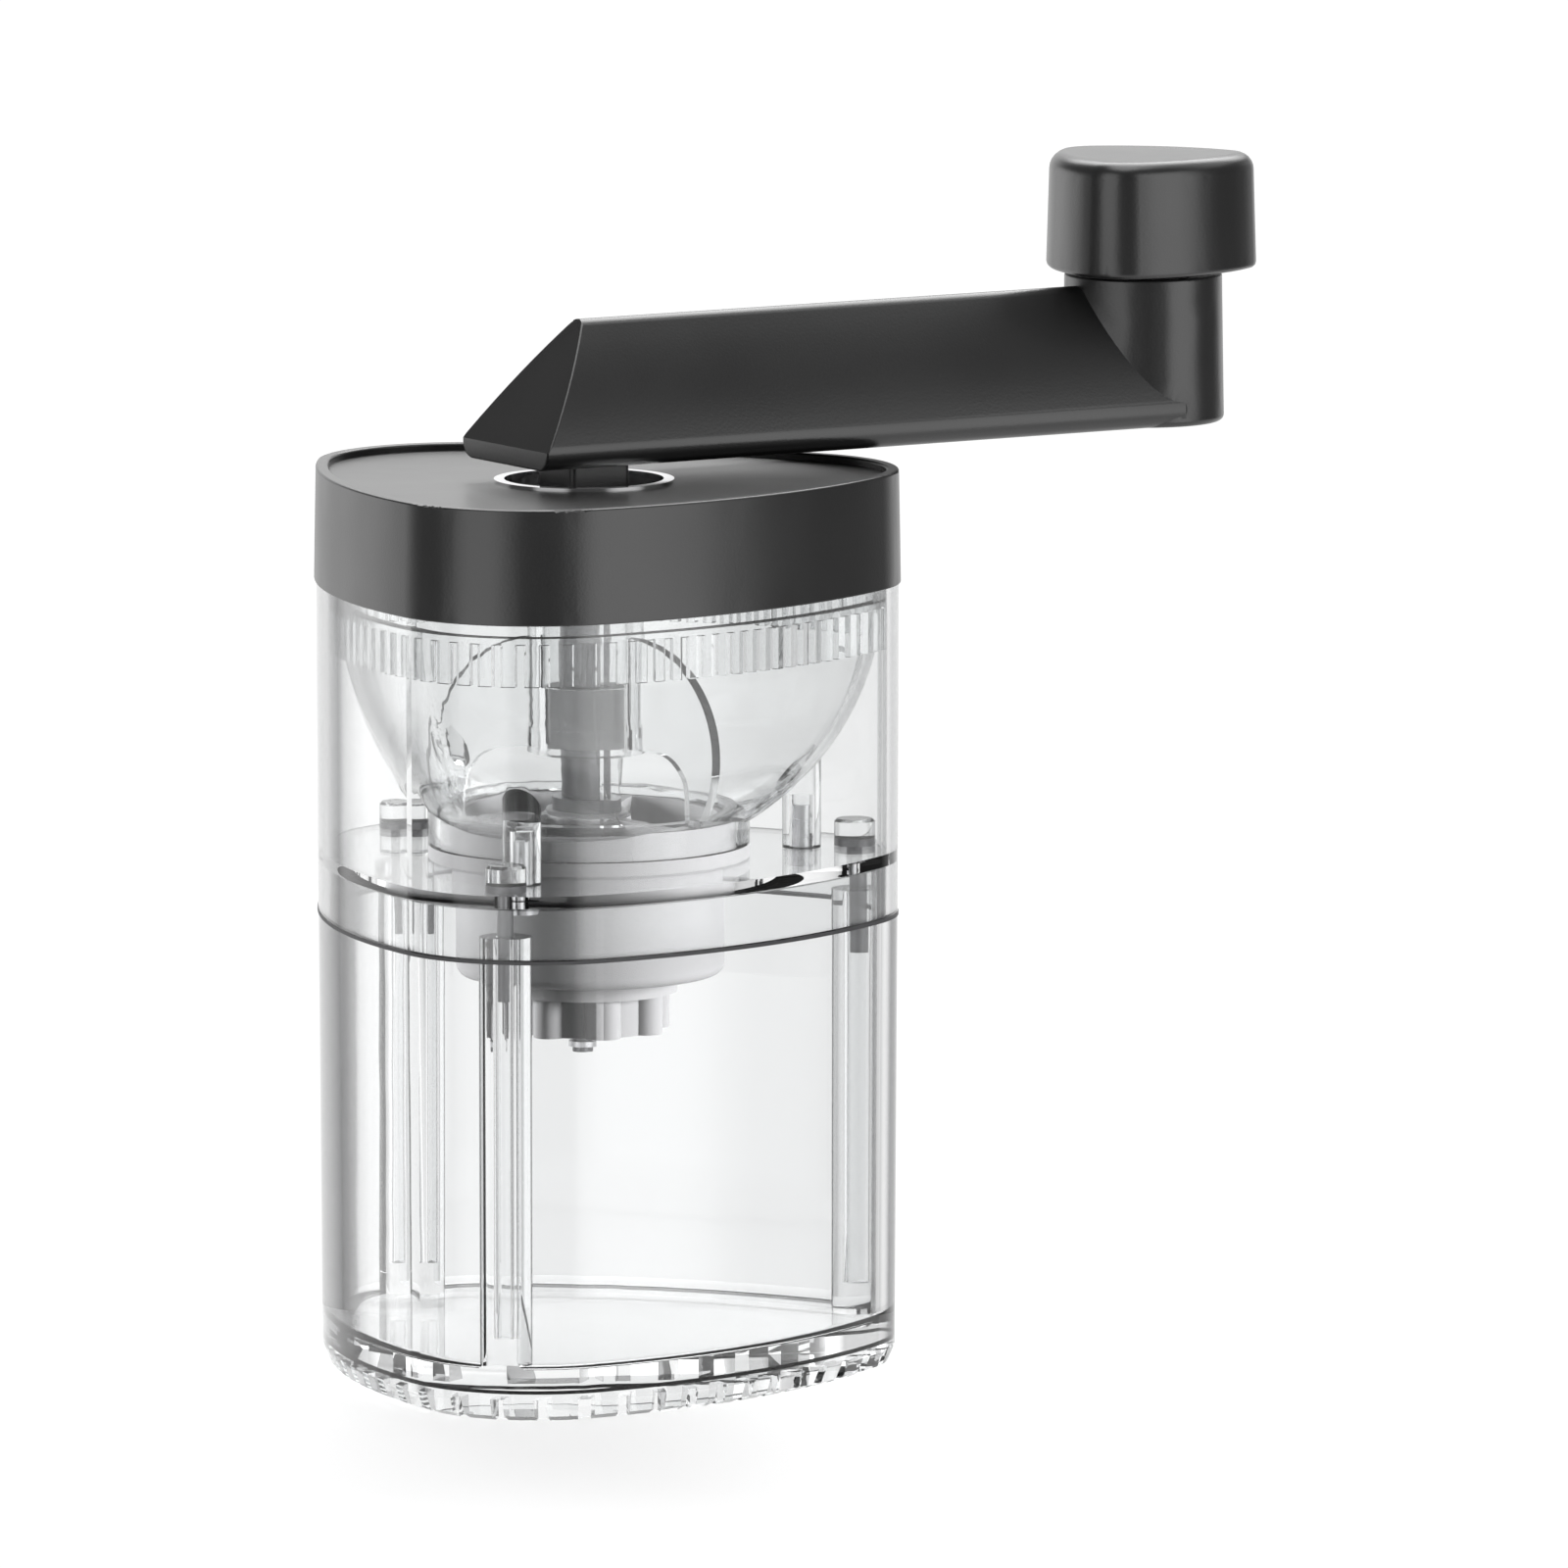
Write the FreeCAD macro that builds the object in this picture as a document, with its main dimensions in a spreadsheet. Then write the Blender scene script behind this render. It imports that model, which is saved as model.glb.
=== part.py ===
import FreeCAD, Part
import math
import os
import re
import Sketcher

# Manual coffee grinder with a rounded-triangle body, in millimetres, +Z up.
# The origin is the centre of the flat underside, on the axis of the shaft.
# One corner of the body points along +X, and the crank reaches out over that corner.

doc = FreeCAD.newDocument("CoffeeGrinder")
sheet = doc.addObject("Spreadsheet::Sheet", "Sizes")

SIZES = {
    # Footprint: three corner arcs joined by three long side arcs, at the lid's lower edge
    "corner_offset": 25.2,
    "corner_radius": 22.7,
    "side_radius": 94.35,
    # Heights, from the table upwards
    "foot_height": 4.4,
    "floor_height": 7.5,
    "shoulder_height": 68.1,
    "gasket_height": 0.5,
    "spigot_height": 7.8,
    "shelf_thickness": 1.8,
    "shell_height": 49.4,
    "collar_height": 7.5,
    "lid_height": 17.0,
    # Insets of the outer walls from the footprint, with the draft of the moulds
    "foot_inset": 0.8,
    "jar_inset": 0.45,
    "shell_inset": 0.43,
    "shell_draft": 0.13,
    "lid_draft": 0.3,
    # Clearances
    "body_gap": 0.3,
    "seat_gap": 0.05,
    "running_gap": 0.05,
    "press_gap": 0.02,
    "seal_gap": 0.1,
    # Jar
    "spigot_wall": 1.5,
    "floor_round": 1.5,
    "post_inset": 6.9,
    "post_radius": 3.7,
    "post_drop": 4.4,
    "socket_floor": 12.0,
    "gasket_lip": 0.12,
    # Foot ring
    "foot_width": 4.5,
    "foot_round": 3.2,
    "notch_width": 1.9,
    "notch_height": 3.5,
    # Upper shell, rib ring and hopper
    "shell_wall": 1.7,
    "collar_wall": 1.6,
    "collar_drop": 2.0,
    "rib_height": 6.2,
    "rib_band": 1.0,
    "rib_wall": 1.45,
    "rib_space": 1.35,
    "bowl_depth": 33.0,
    "bowl_wall": 1.6,
    "bowl_corner_curve": 37.0,
    "bowl_side_curve": 50.0,
    "neck_radius": 24.3,
    "neck_wall": 2.0,
    "neck_height": 8.0,
    "boss_circle": 33.0,
    "boss_radius": 2.85,
    "boss_height": 15.0,
    # Screws and pins
    "screw_radius": 1.25,
    "screw_length": 8.3,
    "screw_tip_gap": 1.5,
    "screw_head_radius": 2.5,
    "screw_head_height": 2.4,
    "screw_drive": 2.0,
    "screw_drive_depth": 1.2,
    "pin_radius": 1.15,
    "pin_length": 16.0,
    "pin_head_radius": 2.95,
    "pin_head_height": 4.0,
    "pin_head_chamfer": 0.4,
    # Burr carrier
    "carrier_radius": 20.3,
    "carrier_depth": 17.5,
    "carrier_flange": 2.0,
    "carrier_rim": 4.0,
    "carrier_round": 1.6,
    "carrier_mouth": 15.6,
    "mouth_lip": 2.6,
    "hub_radius": 6.5,
    "hub_length": 5.0,
    "spoke_width": 3.0,
    "spoke_depth": 3.3,
    # Burrs
    "burr_radius": 18.0,
    "burr_height": 17.4,
    "burr_recess": 0.25,
    "ring_mouth": 14.6,
    "ring_exit": 16.5,
    "ring_groove": 0.6,
    "groove_width": 1.3,
    "groove_twist": 20.0,
    "cone_drop": 0.8,
    "cone_top": 6.4,
    "cone_base": 16.0,
    "cone_curve": 42.0,
    "flute_top_depth": 0.5,
    "flute_base_depth": 1.2,
    "flute_top_width": 2.6,
    "flute_base_width": 5.2,
    "flute_over": 2.6,
    "flute_twist": 32.0,
    # Seat and adjusting nut
    "seat_radius": 13.4,
    "seat_thickness": 3.0,
    "seat_boss_radius": 9.0,
    "seat_boss_height": 1.6,
    "nut_radius": 10.6,
    "nut_height": 5.8,
    "lobe_radius": 2.4,
    "lobe_reach": 2.0,
    # Shaft and bearings
    "shaft_radius": 3.4,
    "thread_radius": 3.0,
    "thread_run": 6.3,
    "tip_radius": 1.5,
    "tip_length": 3.4,
    "clip_radius": 2.1,
    "clip_thickness": 0.8,
    "clip_rise": 0.8,
    "clip_groove": 0.3,
    "clip_slot": 1.6,
    "shaft_flats": 6.1,
    "flats_length": 13.7,
    "collar_radius": 5.0,
    "collar_length": 2.0,
    "hex_across": 5.8,
    "hex_length": 14.0,
    "hex_start": 0.6,
    "bushing_wall": 1.3,
    "bushing_flange": 0.6,
    "bushing_lip": 1.2,
    "washer_radius": 5.3,
    "washer_thickness": 0.6,
    "spring_radius": 4.3,
    "spring_wire": 0.8,
    "spring_bore": 5.1,
    "spring_depth": 6.8,
    # Guide tube and its bridge
    "tube_rise": 9.6,
    "tube_length": 23.4,
    "tube_radius": 8.55,
    "tube_bore": 6.2,
    "tube_band_radius": 8.8,
    "tube_band_height": 3.9,
    "sleeve_radius": 5.6,
    "sleeve_length": 9.9,
    "sleeve_recess": 0.9,
    "bridge_angle": 65.0,
    "leg_thickness": 1.8,
    "leg_reach": 24.8,
    "leg_curve": 16.4,
    "leg_knee_rise": 10.8,
    "arch_root": 13.5,
    "arch_curve": 6.1,
    "arch_rise": 10.7,
    "bridge_ring_wall": 1.8,
    "bridge_ring_height": 1.6,
    # Lid
    "lid_rim": 1.9,
    "recess_depth": 1.1,
    "lid_plate": 2.2,
    "lid_round": 0.4,
    "ring_bore": 11.85,
    "ring_wall": 1.1,
    "ring_lip": 0.45,
    "ring_rise": 0.35,
    "seal_depth": 0.8,
    "seal_height": 2.0,
    "seal_rise": 2.0,
    # Crank arm, its end face, its post and the drive block
    "crank_angle": 17.06,
    "crank_radius": 98.6,
    "crank_rise": 2.06,
    "arm_half_width": 12.45,
    "arm_height": 21.0,
    "arm_low_round": 2.7,
    "arm_ridge_round": 2.4,
    "arm_side_curve": 75.0,
    "arm_tail": 13.6,
    "tail_height": 2.9,
    "tail_slope": 12.66,
    "post_low_radius": 12.3,
    "post_high_radius": 11.95,
    "post_height": 22.4,
    "post_low_round": 1.0,
    "post_top_round": 0.4,
    "block_width": 10.1,
    "block_corner": 0.9,
    "block_drop": 9.5,
    "block_sink": 9.0,
    # Knob, its washer and its axle
    "knob_angle": -1.4,
    "knob_offset": 10.24,
    "knob_corner": 7.19,
    "knob_side": 28.3,
    "knob_height": 17.5,
    "knob_draft": 0.42,
    "knob_top_round": 2.6,
    "knob_low_round": 0.9,
    "knob_washer_radius": 7.0,
    "knob_washer_thickness": 0.5,
    "axle_radius": 3.0,
    "axle_sink": 18.0,
    "axle_rise": 13.5,
    "snap_depth": 0.4,
    "snap_height": 1.4,
    "snap_drop": 2.5,
}
COUNTS = {
    "corner_count": 3,
    "notch_count": 45,
    "rib_count": 84,
    "flute_count": 12,
    "groove_count": 24,
    "lobe_count": 8,
    "spring_turns": 3,
}
for row, (alias, value) in enumerate(list(SIZES.items()) + list(COUNTS.items()), start=1):
    sheet.set(f"A{row}", alias)
    sheet.set(f"B{row}", str(value))
    sheet.setAlias(f"B{row}", alias)
doc.recompute()

# Levels, reaches and insets that follow from the sizes
SHELL_LOW = "(shoulder_height + gasket_height)"
SHELL_TOP = f"({SHELL_LOW} + shell_height)"
SPIGOT_TOP = "(shoulder_height + spigot_height)"
SHELF_LOW = f"({SPIGOT_TOP} + body_gap)"
SHELF_TOP = f"({SHELF_LOW} + shelf_thickness)"
POST_TOP = f"({SPIGOT_TOP} - post_drop)"
LID_TOP = f"({SHELL_TOP} + lid_height)"
PLATE_TOP = f"({LID_TOP} - recess_depth)"
PLATE_LOW = f"({PLATE_TOP} - lid_plate)"
COLLAR_LOW = f"({SHELL_TOP} - collar_drop)"
COLLAR_TOP = f"({SHELL_TOP} + collar_height)"
SEAL_LOW = f"({SHELL_TOP} + seal_rise)"

FOOT_INSET = "(foot_inset + foot_width)"
SHELL_BORE = "(shell_inset + shell_wall)"
SPIGOT_INSET = f"({SHELL_BORE} + body_gap)"
JAR_BORE = f"({SPIGOT_INSET} + spigot_wall)"
COLLAR_INSET = f"({SHELL_BORE} + seat_gap)"
BOWL_INSET = f"({COLLAR_INSET} + rib_wall + seat_gap)"
LID_BORE = f"({SHELL_BORE} - body_gap + seat_gap)"
CORNER_REACH = "(corner_offset + corner_radius)"
SIDE_RISE = "(sqrt((side_radius - corner_radius)^2 - 0.75 * corner_offset^2) - corner_offset / 2)"
SIDE_REACH = f"(side_radius - {SIDE_RISE})"
POST_CIRCLE = f"({CORNER_REACH} - post_inset)"

CARRIER_LOW = f"({SHELF_TOP} - carrier_depth)"
FLANGE_TOP = f"({SHELF_TOP} + carrier_flange)"
CARRIER_TOP = f"({FLANGE_TOP} + carrier_rim)"
CARRIER_RIM = "(neck_radius - neck_wall - 2 * seat_gap)"
BURR_TOP = f"({SHELF_TOP} + burr_recess)"
BURR_LOW = f"({BURR_TOP} - burr_height)"
HUB_LOW = f"({CARRIER_TOP} - hub_length)"
BUSHING_TOP = f"({CARRIER_TOP} + bushing_flange)"
BUSHING_BORE = "(shaft_radius + running_gap)"
BUSHING_RADIUS = f"({BUSHING_BORE} + bushing_wall)"
WASHER_TOP = f"({HUB_LOW} - seat_gap)"
WASHER_LOW = f"({WASHER_TOP} - washer_thickness)"
CONE_TOP = f"({BURR_TOP} - cone_drop)"
SPRING_LOW = f"({CONE_TOP} - spring_depth)"
SEAT_LOW = f"({BURR_LOW} - seat_thickness)"
NUT_TOP = f"({SEAT_LOW} - seat_gap)"
NUT_LOW = f"({NUT_TOP} - nut_height)"
TIP_LOW = f"({NUT_LOW} - tip_length)"
CLIP_LOW = f"({TIP_LOW} + clip_rise)"
THREAD_TOP = f"({NUT_LOW} + thread_run)"

ARM_LOW = f"({LID_TOP} + crank_rise)"
ARM_TOP = f"({ARM_LOW} + arm_height)"
ARM_POST_TOP = f"({ARM_LOW} + post_height)"
BLOCK_LOW = f"({ARM_LOW} - block_drop)"
BLOCK_TOP = f"({ARM_LOW} + block_sink)"
SHAFT_TOP = f"({BLOCK_LOW} + hex_length)"
HEX_LOW = f"({BLOCK_LOW} - hex_start)"
WASHER_SEAT = f"({ARM_POST_TOP} + seat_gap)"
KNOB_LOW = f"({WASHER_SEAT} + knob_washer_thickness + seat_gap)"
KNOB_TOP = f"({KNOB_LOW} + knob_height)"
AXLE_TOP = f"({ARM_POST_TOP} + axle_rise)"
SNAP_LOW = f"({AXLE_TOP} - snap_drop)"

FOOTPRINT = ("corner_offset", "corner_radius", "side_radius")
KNOB_SHAPE = ("knob_offset", "knob_corner", "knob_side")

V = FreeCAD.Vector
C = Sketcher.Constraint
ORIGIN = (-1, 1)


# Helpers: each takes its sizes as expressions, so that every sketch and feature follows the sheet
def on_sheet(expression):
    return re.sub(r"(?<![\w.])([a-z]+(?:_[a-z]+)+)", r"Sizes.\1", expression)


def number(expression):
    value = sheet.evalExpression(on_sheet(expression))
    return float(getattr(value, "Value", value))


def polar(angle, reach=1.0):
    return V(reach * math.cos(math.radians(angle)), reach * math.sin(math.radians(angle)), 0)


def new_body(label):
    body = doc.addObject("PartDesign::Body", label)
    body.Label = label
    return body


def datum(body, role):
    return [item for item in body.Origin.OriginFeatures if item.Role == role][0]


def sketch_on(body, name, role="XY_Plane", level=None, shift=None):
    sketch = body.newObject("Sketcher::SketchObject", f"{body.Label}_{name}")
    sketch.AttachmentSupport = [(datum(body, role), "")]
    sketch.MapMode = "FlatFace"
    if level:
        sketch.setExpression("AttachmentOffset.Base.z", on_sheet(level))
    if shift:
        sketch.setExpression("AttachmentOffset.Base.x", on_sheet(shift))
    return sketch


def bind(sketch, constraint, expression):
    index = sketch.addConstraint(constraint)
    sketch.setExpression(f"Constraints[{index}]", on_sheet(expression))


def place(sketch, geometry, point, across, up):
    # Ties one point to the sketch's origin by two distances; a distance of 0 puts it on the axis
    for kind, axis, expression in (("DistanceX", -2, across), ("DistanceY", -1, up)):
        value = number(expression)
        if expression == "0":
            sketch.addConstraint(C("PointOnObject", geometry, point, axis))
        elif value >= 0:
            bind(sketch, C(kind, *ORIGIN, geometry, point, value), expression)
        else:
            bind(sketch, C(kind, geometry, point, *ORIGIN, -value), f"-({expression})")


def circle(sketch, radius, across="0", up="0"):
    centre = V(number(across), number(up), 0)
    index = sketch.addGeometry(Part.Circle(centre, V(0, 0, 1), number(radius)), False)
    if across == "0" and up == "0":
        sketch.addConstraint(C("Coincident", index, 3, *ORIGIN))
    else:
        place(sketch, index, 3, across, up)
    bind(sketch, C("Radius", index, number(radius)), radius)


def arc_between(start, end, radius, left):
    # The short arc from one point to the other; left says on which side of the chord its centre lies
    chord = end - start
    rise = math.sqrt(max(radius ** 2 - (chord.Length / 2) ** 2, 0))
    normal = V(-chord.y, chord.x, 0).normalize()
    centre = (start + end) * 0.5 + normal * (rise if left else -rise)
    first, last = (start, end) if left else (end, start)
    angles = [math.atan2(point.y - centre.y, point.x - centre.x) for point in (first, last)]
    if angles[1] < angles[0]:
        angles[1] += 2 * math.pi
    return Part.ArcOfCircle(Part.Circle(centre, V(0, 0, 1), radius), *angles)


def profile(sketch, corners):
    # A closed chain: each corner is (across, up), or (across, up, radius, left) where an arc starts
    points = [V(number(corner[0]), number(corner[1]), 0) for corner in corners]
    first = sketch.GeometryCount
    ends = []
    for index, corner in enumerate(corners):
        start = points[index]
        end = points[(index + 1) % len(points)]
        if len(corner) == 2:
            sketch.addGeometry(Part.LineSegment(start, end), False)
            ends.append((1, 2))
        else:
            arc = arc_between(start, end, number(corner[2]), corner[3])
            sketch.addGeometry(arc, False)
            ends.append((1, 2) if corner[3] else (2, 1))
    for index, corner in enumerate(corners):
        following = (index + 1) % len(corners)
        leaving, arriving = ends[index][1], ends[following][0]
        sketch.addConstraint(C("Coincident", first + index, leaving, first + following, arriving))
    for index, corner in enumerate(corners):
        place(sketch, first + index, ends[index][0], corner[0], corner[1])
        if len(corner) > 2:
            bind(sketch, C("Radius", first + index, number(corner[2])), corner[2])


def rectangle(sketch, near, far, width):
    half = f"({width}) / 2"
    profile(sketch, [(near, f"-{half}"), (far, f"-{half}"), (far, half), (near, half)])


def outline(sketch, inset="0", shape=FOOTPRINT):
    # The rounded triangle: corner arcs and side arcs that meet smoothly, drawn in by an inset
    offset = shape[0]
    corner = f"({shape[1]} - {inset})"
    side = f"({shape[2]} - {inset})"
    reach = number(offset)
    radii = (number(corner), number(side))
    rise = math.sqrt((radii[1] - radii[0]) ** 2 - 0.75 * reach ** 2) - reach / 2
    first = sketch.GeometryCount
    for turn in range(3):
        middle = polar(120 * turn, reach)
        flank = polar(120 * turn + 60, -rise)
        following = polar(120 * turn + 120, reach)
        arcs = (
            (middle, radii[0], middle - polar(120 * turn - 60, -rise), middle - flank),
            (flank, radii[1], middle - flank, following - flank),
        )
        for centre, radius, start, end in arcs:
            angles = [math.atan2(start.y, start.x), math.atan2(end.y, end.x)]
            if angles[1] < angles[0]:
                angles[1] += 2 * math.pi
            sketch.addGeometry(Part.ArcOfCircle(Part.Circle(centre, V(0, 0, 1), radius), *angles), False)
    for index in range(6):
        sketch.addConstraint(C("Tangent", first + index, 2, first + (index + 1) % 6, 1))
    bind(sketch, C("Radius", first, radii[0]), corner)
    bind(sketch, C("Radius", first + 1, radii[1]), side)
    for index in (2, 4):
        sketch.addConstraint(C("Equal", first, first + index))
        sketch.addConstraint(C("Equal", first + 1, first + 1 + index))
    half = f"{offset} / 2"
    height = f"{offset} * sqrt(3) / 2"
    sketch.addConstraint(C("PointOnObject", first, 3, -1))
    bind(sketch, C("DistanceX", *ORIGIN, first, 3, reach), offset)
    bind(sketch, C("DistanceX", first + 2, 3, *ORIGIN, reach / 2), half)
    bind(sketch, C("DistanceY", *ORIGIN, first + 2, 3, number(height)), height)
    bind(sketch, C("DistanceX", first + 4, 3, *ORIGIN, reach / 2), half)
    bind(sketch, C("DistanceY", first + 4, 3, *ORIGIN, number(height)), height)


def hexagon(sketch, across):
    side = f"({across}) / sqrt(3)"
    half = f"({across}) / 2"
    tip = f"({across}) / sqrt(3) / 2"
    profile(sketch, [(side, "0"), (tip, half), (f"-{tip}", half), (f"-{side}", "0"),
                     (f"-{tip}", f"-{half}"), (tip, f"-{half}")])


def flatted(sketch, radius, across):
    # A circle with two flats, square to X
    half = f"({across}) / 2"
    edge = f"sqrt(({radius})^2 - (({across}) / 2)^2)"
    profile(sketch, [(half, f"-{edge}"), (half, edge, radius, True),
                     (f"-{half}", edge), (f"-{half}", f"-{edge}", radius, True)])


def pad(body, name, sketch, length, both=False):
    feature = body.newObject("PartDesign::Pad", f"{body.Label}_{name}")
    feature.Profile = sketch
    feature.setExpression("Length", on_sheet(length))
    feature.Midplane = both
    return feature


def pocket(body, name, sketch, depth, upward=False, both=False):
    feature = body.newObject("PartDesign::Pocket", f"{body.Label}_{name}")
    feature.Profile = sketch
    feature.setExpression("Length", on_sheet(depth))
    feature.Reversed = upward
    feature.Midplane = both
    return feature


def loft(body, name, sketches, cut=False, ruled=True):
    kind = "PartDesign::SubtractiveLoft" if cut else "PartDesign::AdditiveLoft"
    feature = body.newObject(kind, f"{body.Label}_{name}")
    feature.Profile = sketches[0]
    feature.Sections = sketches[1:]
    feature.Ruled = ruled
    return feature


def turned(body, name, corners, shift=None, cut=False):
    # A turned shape round Z, or round an upright line moved out along X
    sketch = sketch_on(body, f"{name}_section", "XZ_Plane", shift=shift)
    profile(sketch, corners)
    kind = "PartDesign::Groove" if cut else "PartDesign::Revolution"
    feature = body.newObject(kind, f"{body.Label}_{name}")
    feature.Profile = sketch
    feature.ReferenceAxis = (sketch, ["V_Axis"])
    feature.Angle = 360
    return feature


def around(body, name, features, count):
    feature = body.newObject("PartDesign::PolarPattern", f"{body.Label}_{name}")
    feature.Originals = features
    feature.Axis = (datum(body, "Z_Axis"), [""])
    feature.Angle = 360
    feature.setExpression("Occurrences", on_sheet(count))
    body.Tip = feature
    return feature


def level_edges(feature, level, low=0.0, high=1000.0):
    # Names of the edges that lie at one height, with their middles between two distances from the axis
    doc.recompute()
    names = []
    for index, edge in enumerate(feature.Shape.Edges, start=1):
        box = edge.BoundBox
        middle = edge.valueAt((edge.FirstParameter + edge.LastParameter) / 2)
        flat = abs(box.ZMax - number(level)) < 0.001 and abs(box.ZMin - number(level)) < 0.001
        if flat and low < math.hypot(middle.x, middle.y) < high:
            names.append(f"Edge{index}")
    return names


def rounded(body, name, base, edges, radius):
    feature = body.newObject("PartDesign::Fillet", f"{body.Label}_{name}")
    feature.Base = (base, edges)
    feature.setExpression("Radius", on_sheet(radius))
    return feature


def swing(body, angle="crank_angle"):
    # Turned about the shaft's axis; what is keyed to the shaft stands at the crank's angle
    body.setExpression("Placement.Rotation.Angle", on_sheet(angle))


# Catch jar: thick floor, drafted wall, spigot for the upper shell and three corner posts with sockets
jar = new_body("jar")
jar_plug = sketch_on(jar, "plug_outline")
outline(jar_plug, f"({FOOT_INSET} + press_gap)")
pad(jar, "plug", jar_plug, "foot_height")
jar_low = sketch_on(jar, "wall_low", level="foot_height")
outline(jar_low, "foot_inset")
jar_high = sketch_on(jar, "wall_high", level="shoulder_height")
outline(jar_high, "jar_inset")
loft(jar, "wall", [jar_low, jar_high])
jar_spigot = sketch_on(jar, "spigot_outline", level="shoulder_height")
outline(jar_spigot, SPIGOT_INSET)
pad(jar, "spigot", jar_spigot, "spigot_height")
jar_inside = sketch_on(jar, "inside_outline", level=SPIGOT_TOP)
outline(jar_inside, JAR_BORE)
jar_cavity = pocket(jar, "cavity", jar_inside, f"{SPIGOT_TOP} - floor_height")
jar_floor = level_edges(jar_cavity, "floor_height")
rounded(jar, "floor_edge", jar_cavity, jar_floor, "floor_round")
jar_post = sketch_on(jar, "post_outline", level="foot_height")
circle(jar_post, "post_radius", POST_CIRCLE)
post = pad(jar, "post", jar_post, f"{POST_TOP} - foot_height")
jar_socket = sketch_on(jar, "socket_outline", level=POST_TOP)
circle(jar_socket, "(pin_radius + body_gap)", POST_CIRCLE)
socket = pocket(jar, "socket", jar_socket, f"{POST_TOP} - socket_floor")
around(jar, "posts", [post, socket], "corner_count")

# Foot ring: a notched tread that wraps the lower edge of the jar
foot_ring = new_body("foot_ring")
foot_sections = []
for angle in (0, 45, 90):
    edge = sketch_on(foot_ring, f"edge_{len(foot_sections)}", level=f"foot_round * (1 - cos({angle}))")
    outline(edge, f"(foot_inset + foot_round * (1 - sin({angle})))")
    foot_sections.append(edge)
loft(foot_ring, "lower_edge", foot_sections)
foot_outline = sketch_on(foot_ring, "outline", level="foot_round")
outline(foot_outline, "foot_inset")
pad(foot_ring, "band", foot_outline, "foot_height - foot_round")
foot_bore = sketch_on(foot_ring, "bore_outline", level="foot_height")
outline(foot_bore, FOOT_INSET)
pocket(foot_ring, "bore", foot_bore, "foot_height")
foot_notch = sketch_on(foot_ring, "notch_outline")
rectangle(foot_notch, f"{SIDE_REACH} - foot_inset - 2 * foot_width", CORNER_REACH, "notch_width")
notch = pocket(foot_ring, "notch", foot_notch, "notch_height", upward=True)
around(foot_ring, "notches", [notch], "notch_count")

# Flat gasket on the jar's shoulder
jar_gasket = new_body("jar_gasket")
gasket_outline = sketch_on(jar_gasket, "outline", level="shoulder_height")
outline(gasket_outline, "(jar_inset - gasket_lip)")
outline(gasket_outline, f"({SPIGOT_INSET} - seat_gap)")
pad(jar_gasket, "band", gasket_outline, "gasket_height")

# Upper shell: a thin drafted wall with a shelf that carries the burr carrier and the hopper
upper_shell = new_body("upper_shell")
shell_low = sketch_on(upper_shell, "wall_low", level=SHELL_LOW)
outline(shell_low, "shell_inset")
shell_high = sketch_on(upper_shell, "wall_high", level=SHELL_TOP)
outline(shell_high, "(shell_inset - shell_draft)")
loft(upper_shell, "wall", [shell_low, shell_high])
shell_above = sketch_on(upper_shell, "bore_above", level=SHELL_TOP)
outline(shell_above, SHELL_BORE)
pocket(upper_shell, "hopper_bay", shell_above, f"{SHELL_TOP} - {SHELF_TOP}")
shell_below = sketch_on(upper_shell, "bore_below", level=SHELL_LOW)
outline(shell_below, SHELL_BORE)
pocket(upper_shell, "spigot_bay", shell_below, f"{SHELF_LOW} - {SHELL_LOW}", upward=True)
shell_hole = sketch_on(upper_shell, "carrier_hole", level=SHELF_TOP)
circle(shell_hole, "(carrier_radius + seat_gap)")
pocket(upper_shell, "carrier_seat", shell_hole, "shelf_thickness")
shell_fixings = sketch_on(upper_shell, "fixing_holes", level=SHELF_TOP)
circle(shell_fixings, "(screw_radius + seat_gap)", "boss_circle")
circle(shell_fixings, "(pin_radius + seat_gap)", POST_CIRCLE)
fixings = pocket(upper_shell, "fixings", shell_fixings, "shelf_thickness")
around(upper_shell, "fixing_pattern", [fixings], "corner_count")

# Rib ring: a band with a row of upright ribs that hangs under the hopper's collar
rib_ring = new_body("rib_ring")
rib_outline = sketch_on(rib_ring, "outline", level=f"{COLLAR_LOW} - rib_band - rib_height")
outline(rib_outline, COLLAR_INSET)
outline(rib_outline, f"({COLLAR_INSET} + rib_wall)")
pad(rib_ring, "band", rib_outline, "rib_band + rib_height")
rib_slot = sketch_on(rib_ring, "slot_outline", level=f"{COLLAR_LOW} - rib_band - rib_height")
rectangle(rib_slot, f"{SIDE_REACH} - {COLLAR_INSET} - 3 * rib_wall", CORNER_REACH, "rib_space")
slot = pocket(rib_ring, "slot", rib_slot, "rib_height", upward=True)
around(rib_ring, "ribs", [slot], "rib_count")

# Hopper: a rounded-triangle bowl that narrows to a round neck, with a collar and three screw bosses
BOWL_STEPS = (0, 0.28, 0.57, 0.79, 0.92, 1)


def bowl_section(sketch, drop, wall):
    corner = (f"({CORNER_REACH} - {BOWL_INSET} - bowl_corner_curve"
              f" + sqrt((bowl_corner_curve - {wall})^2 - ({drop})^2))")
    flank = (f"({SIDE_REACH} - {BOWL_INSET} - bowl_side_curve"
             f" + sqrt((bowl_side_curve - {wall})^2 - ({drop})^2))")
    offset = f"(corner_offset * ({corner} - {flank}) / ({CORNER_REACH} - {SIDE_REACH}))"
    radius = f"({corner} - {offset})"
    side = (f"(({radius}^2 - 0.75 * {offset}^2 - ({flank} - {offset} / 2)^2)"
            f" / (2 * ({radius} - {flank} + {offset} / 2)))")
    outline(sketch, shape=(offset, radius, side))


def bowl_sections(body, name, depth, wall):
    sketches = []
    for index, step in enumerate(BOWL_STEPS):
        drop = f"({depth}) * {step}"
        sketch = sketch_on(body, f"{name}_{index}", level=f"{COLLAR_LOW} - {drop}")
        bowl_section(sketch, drop, wall)
        sketches.append(sketch)
    return sketches


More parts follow.
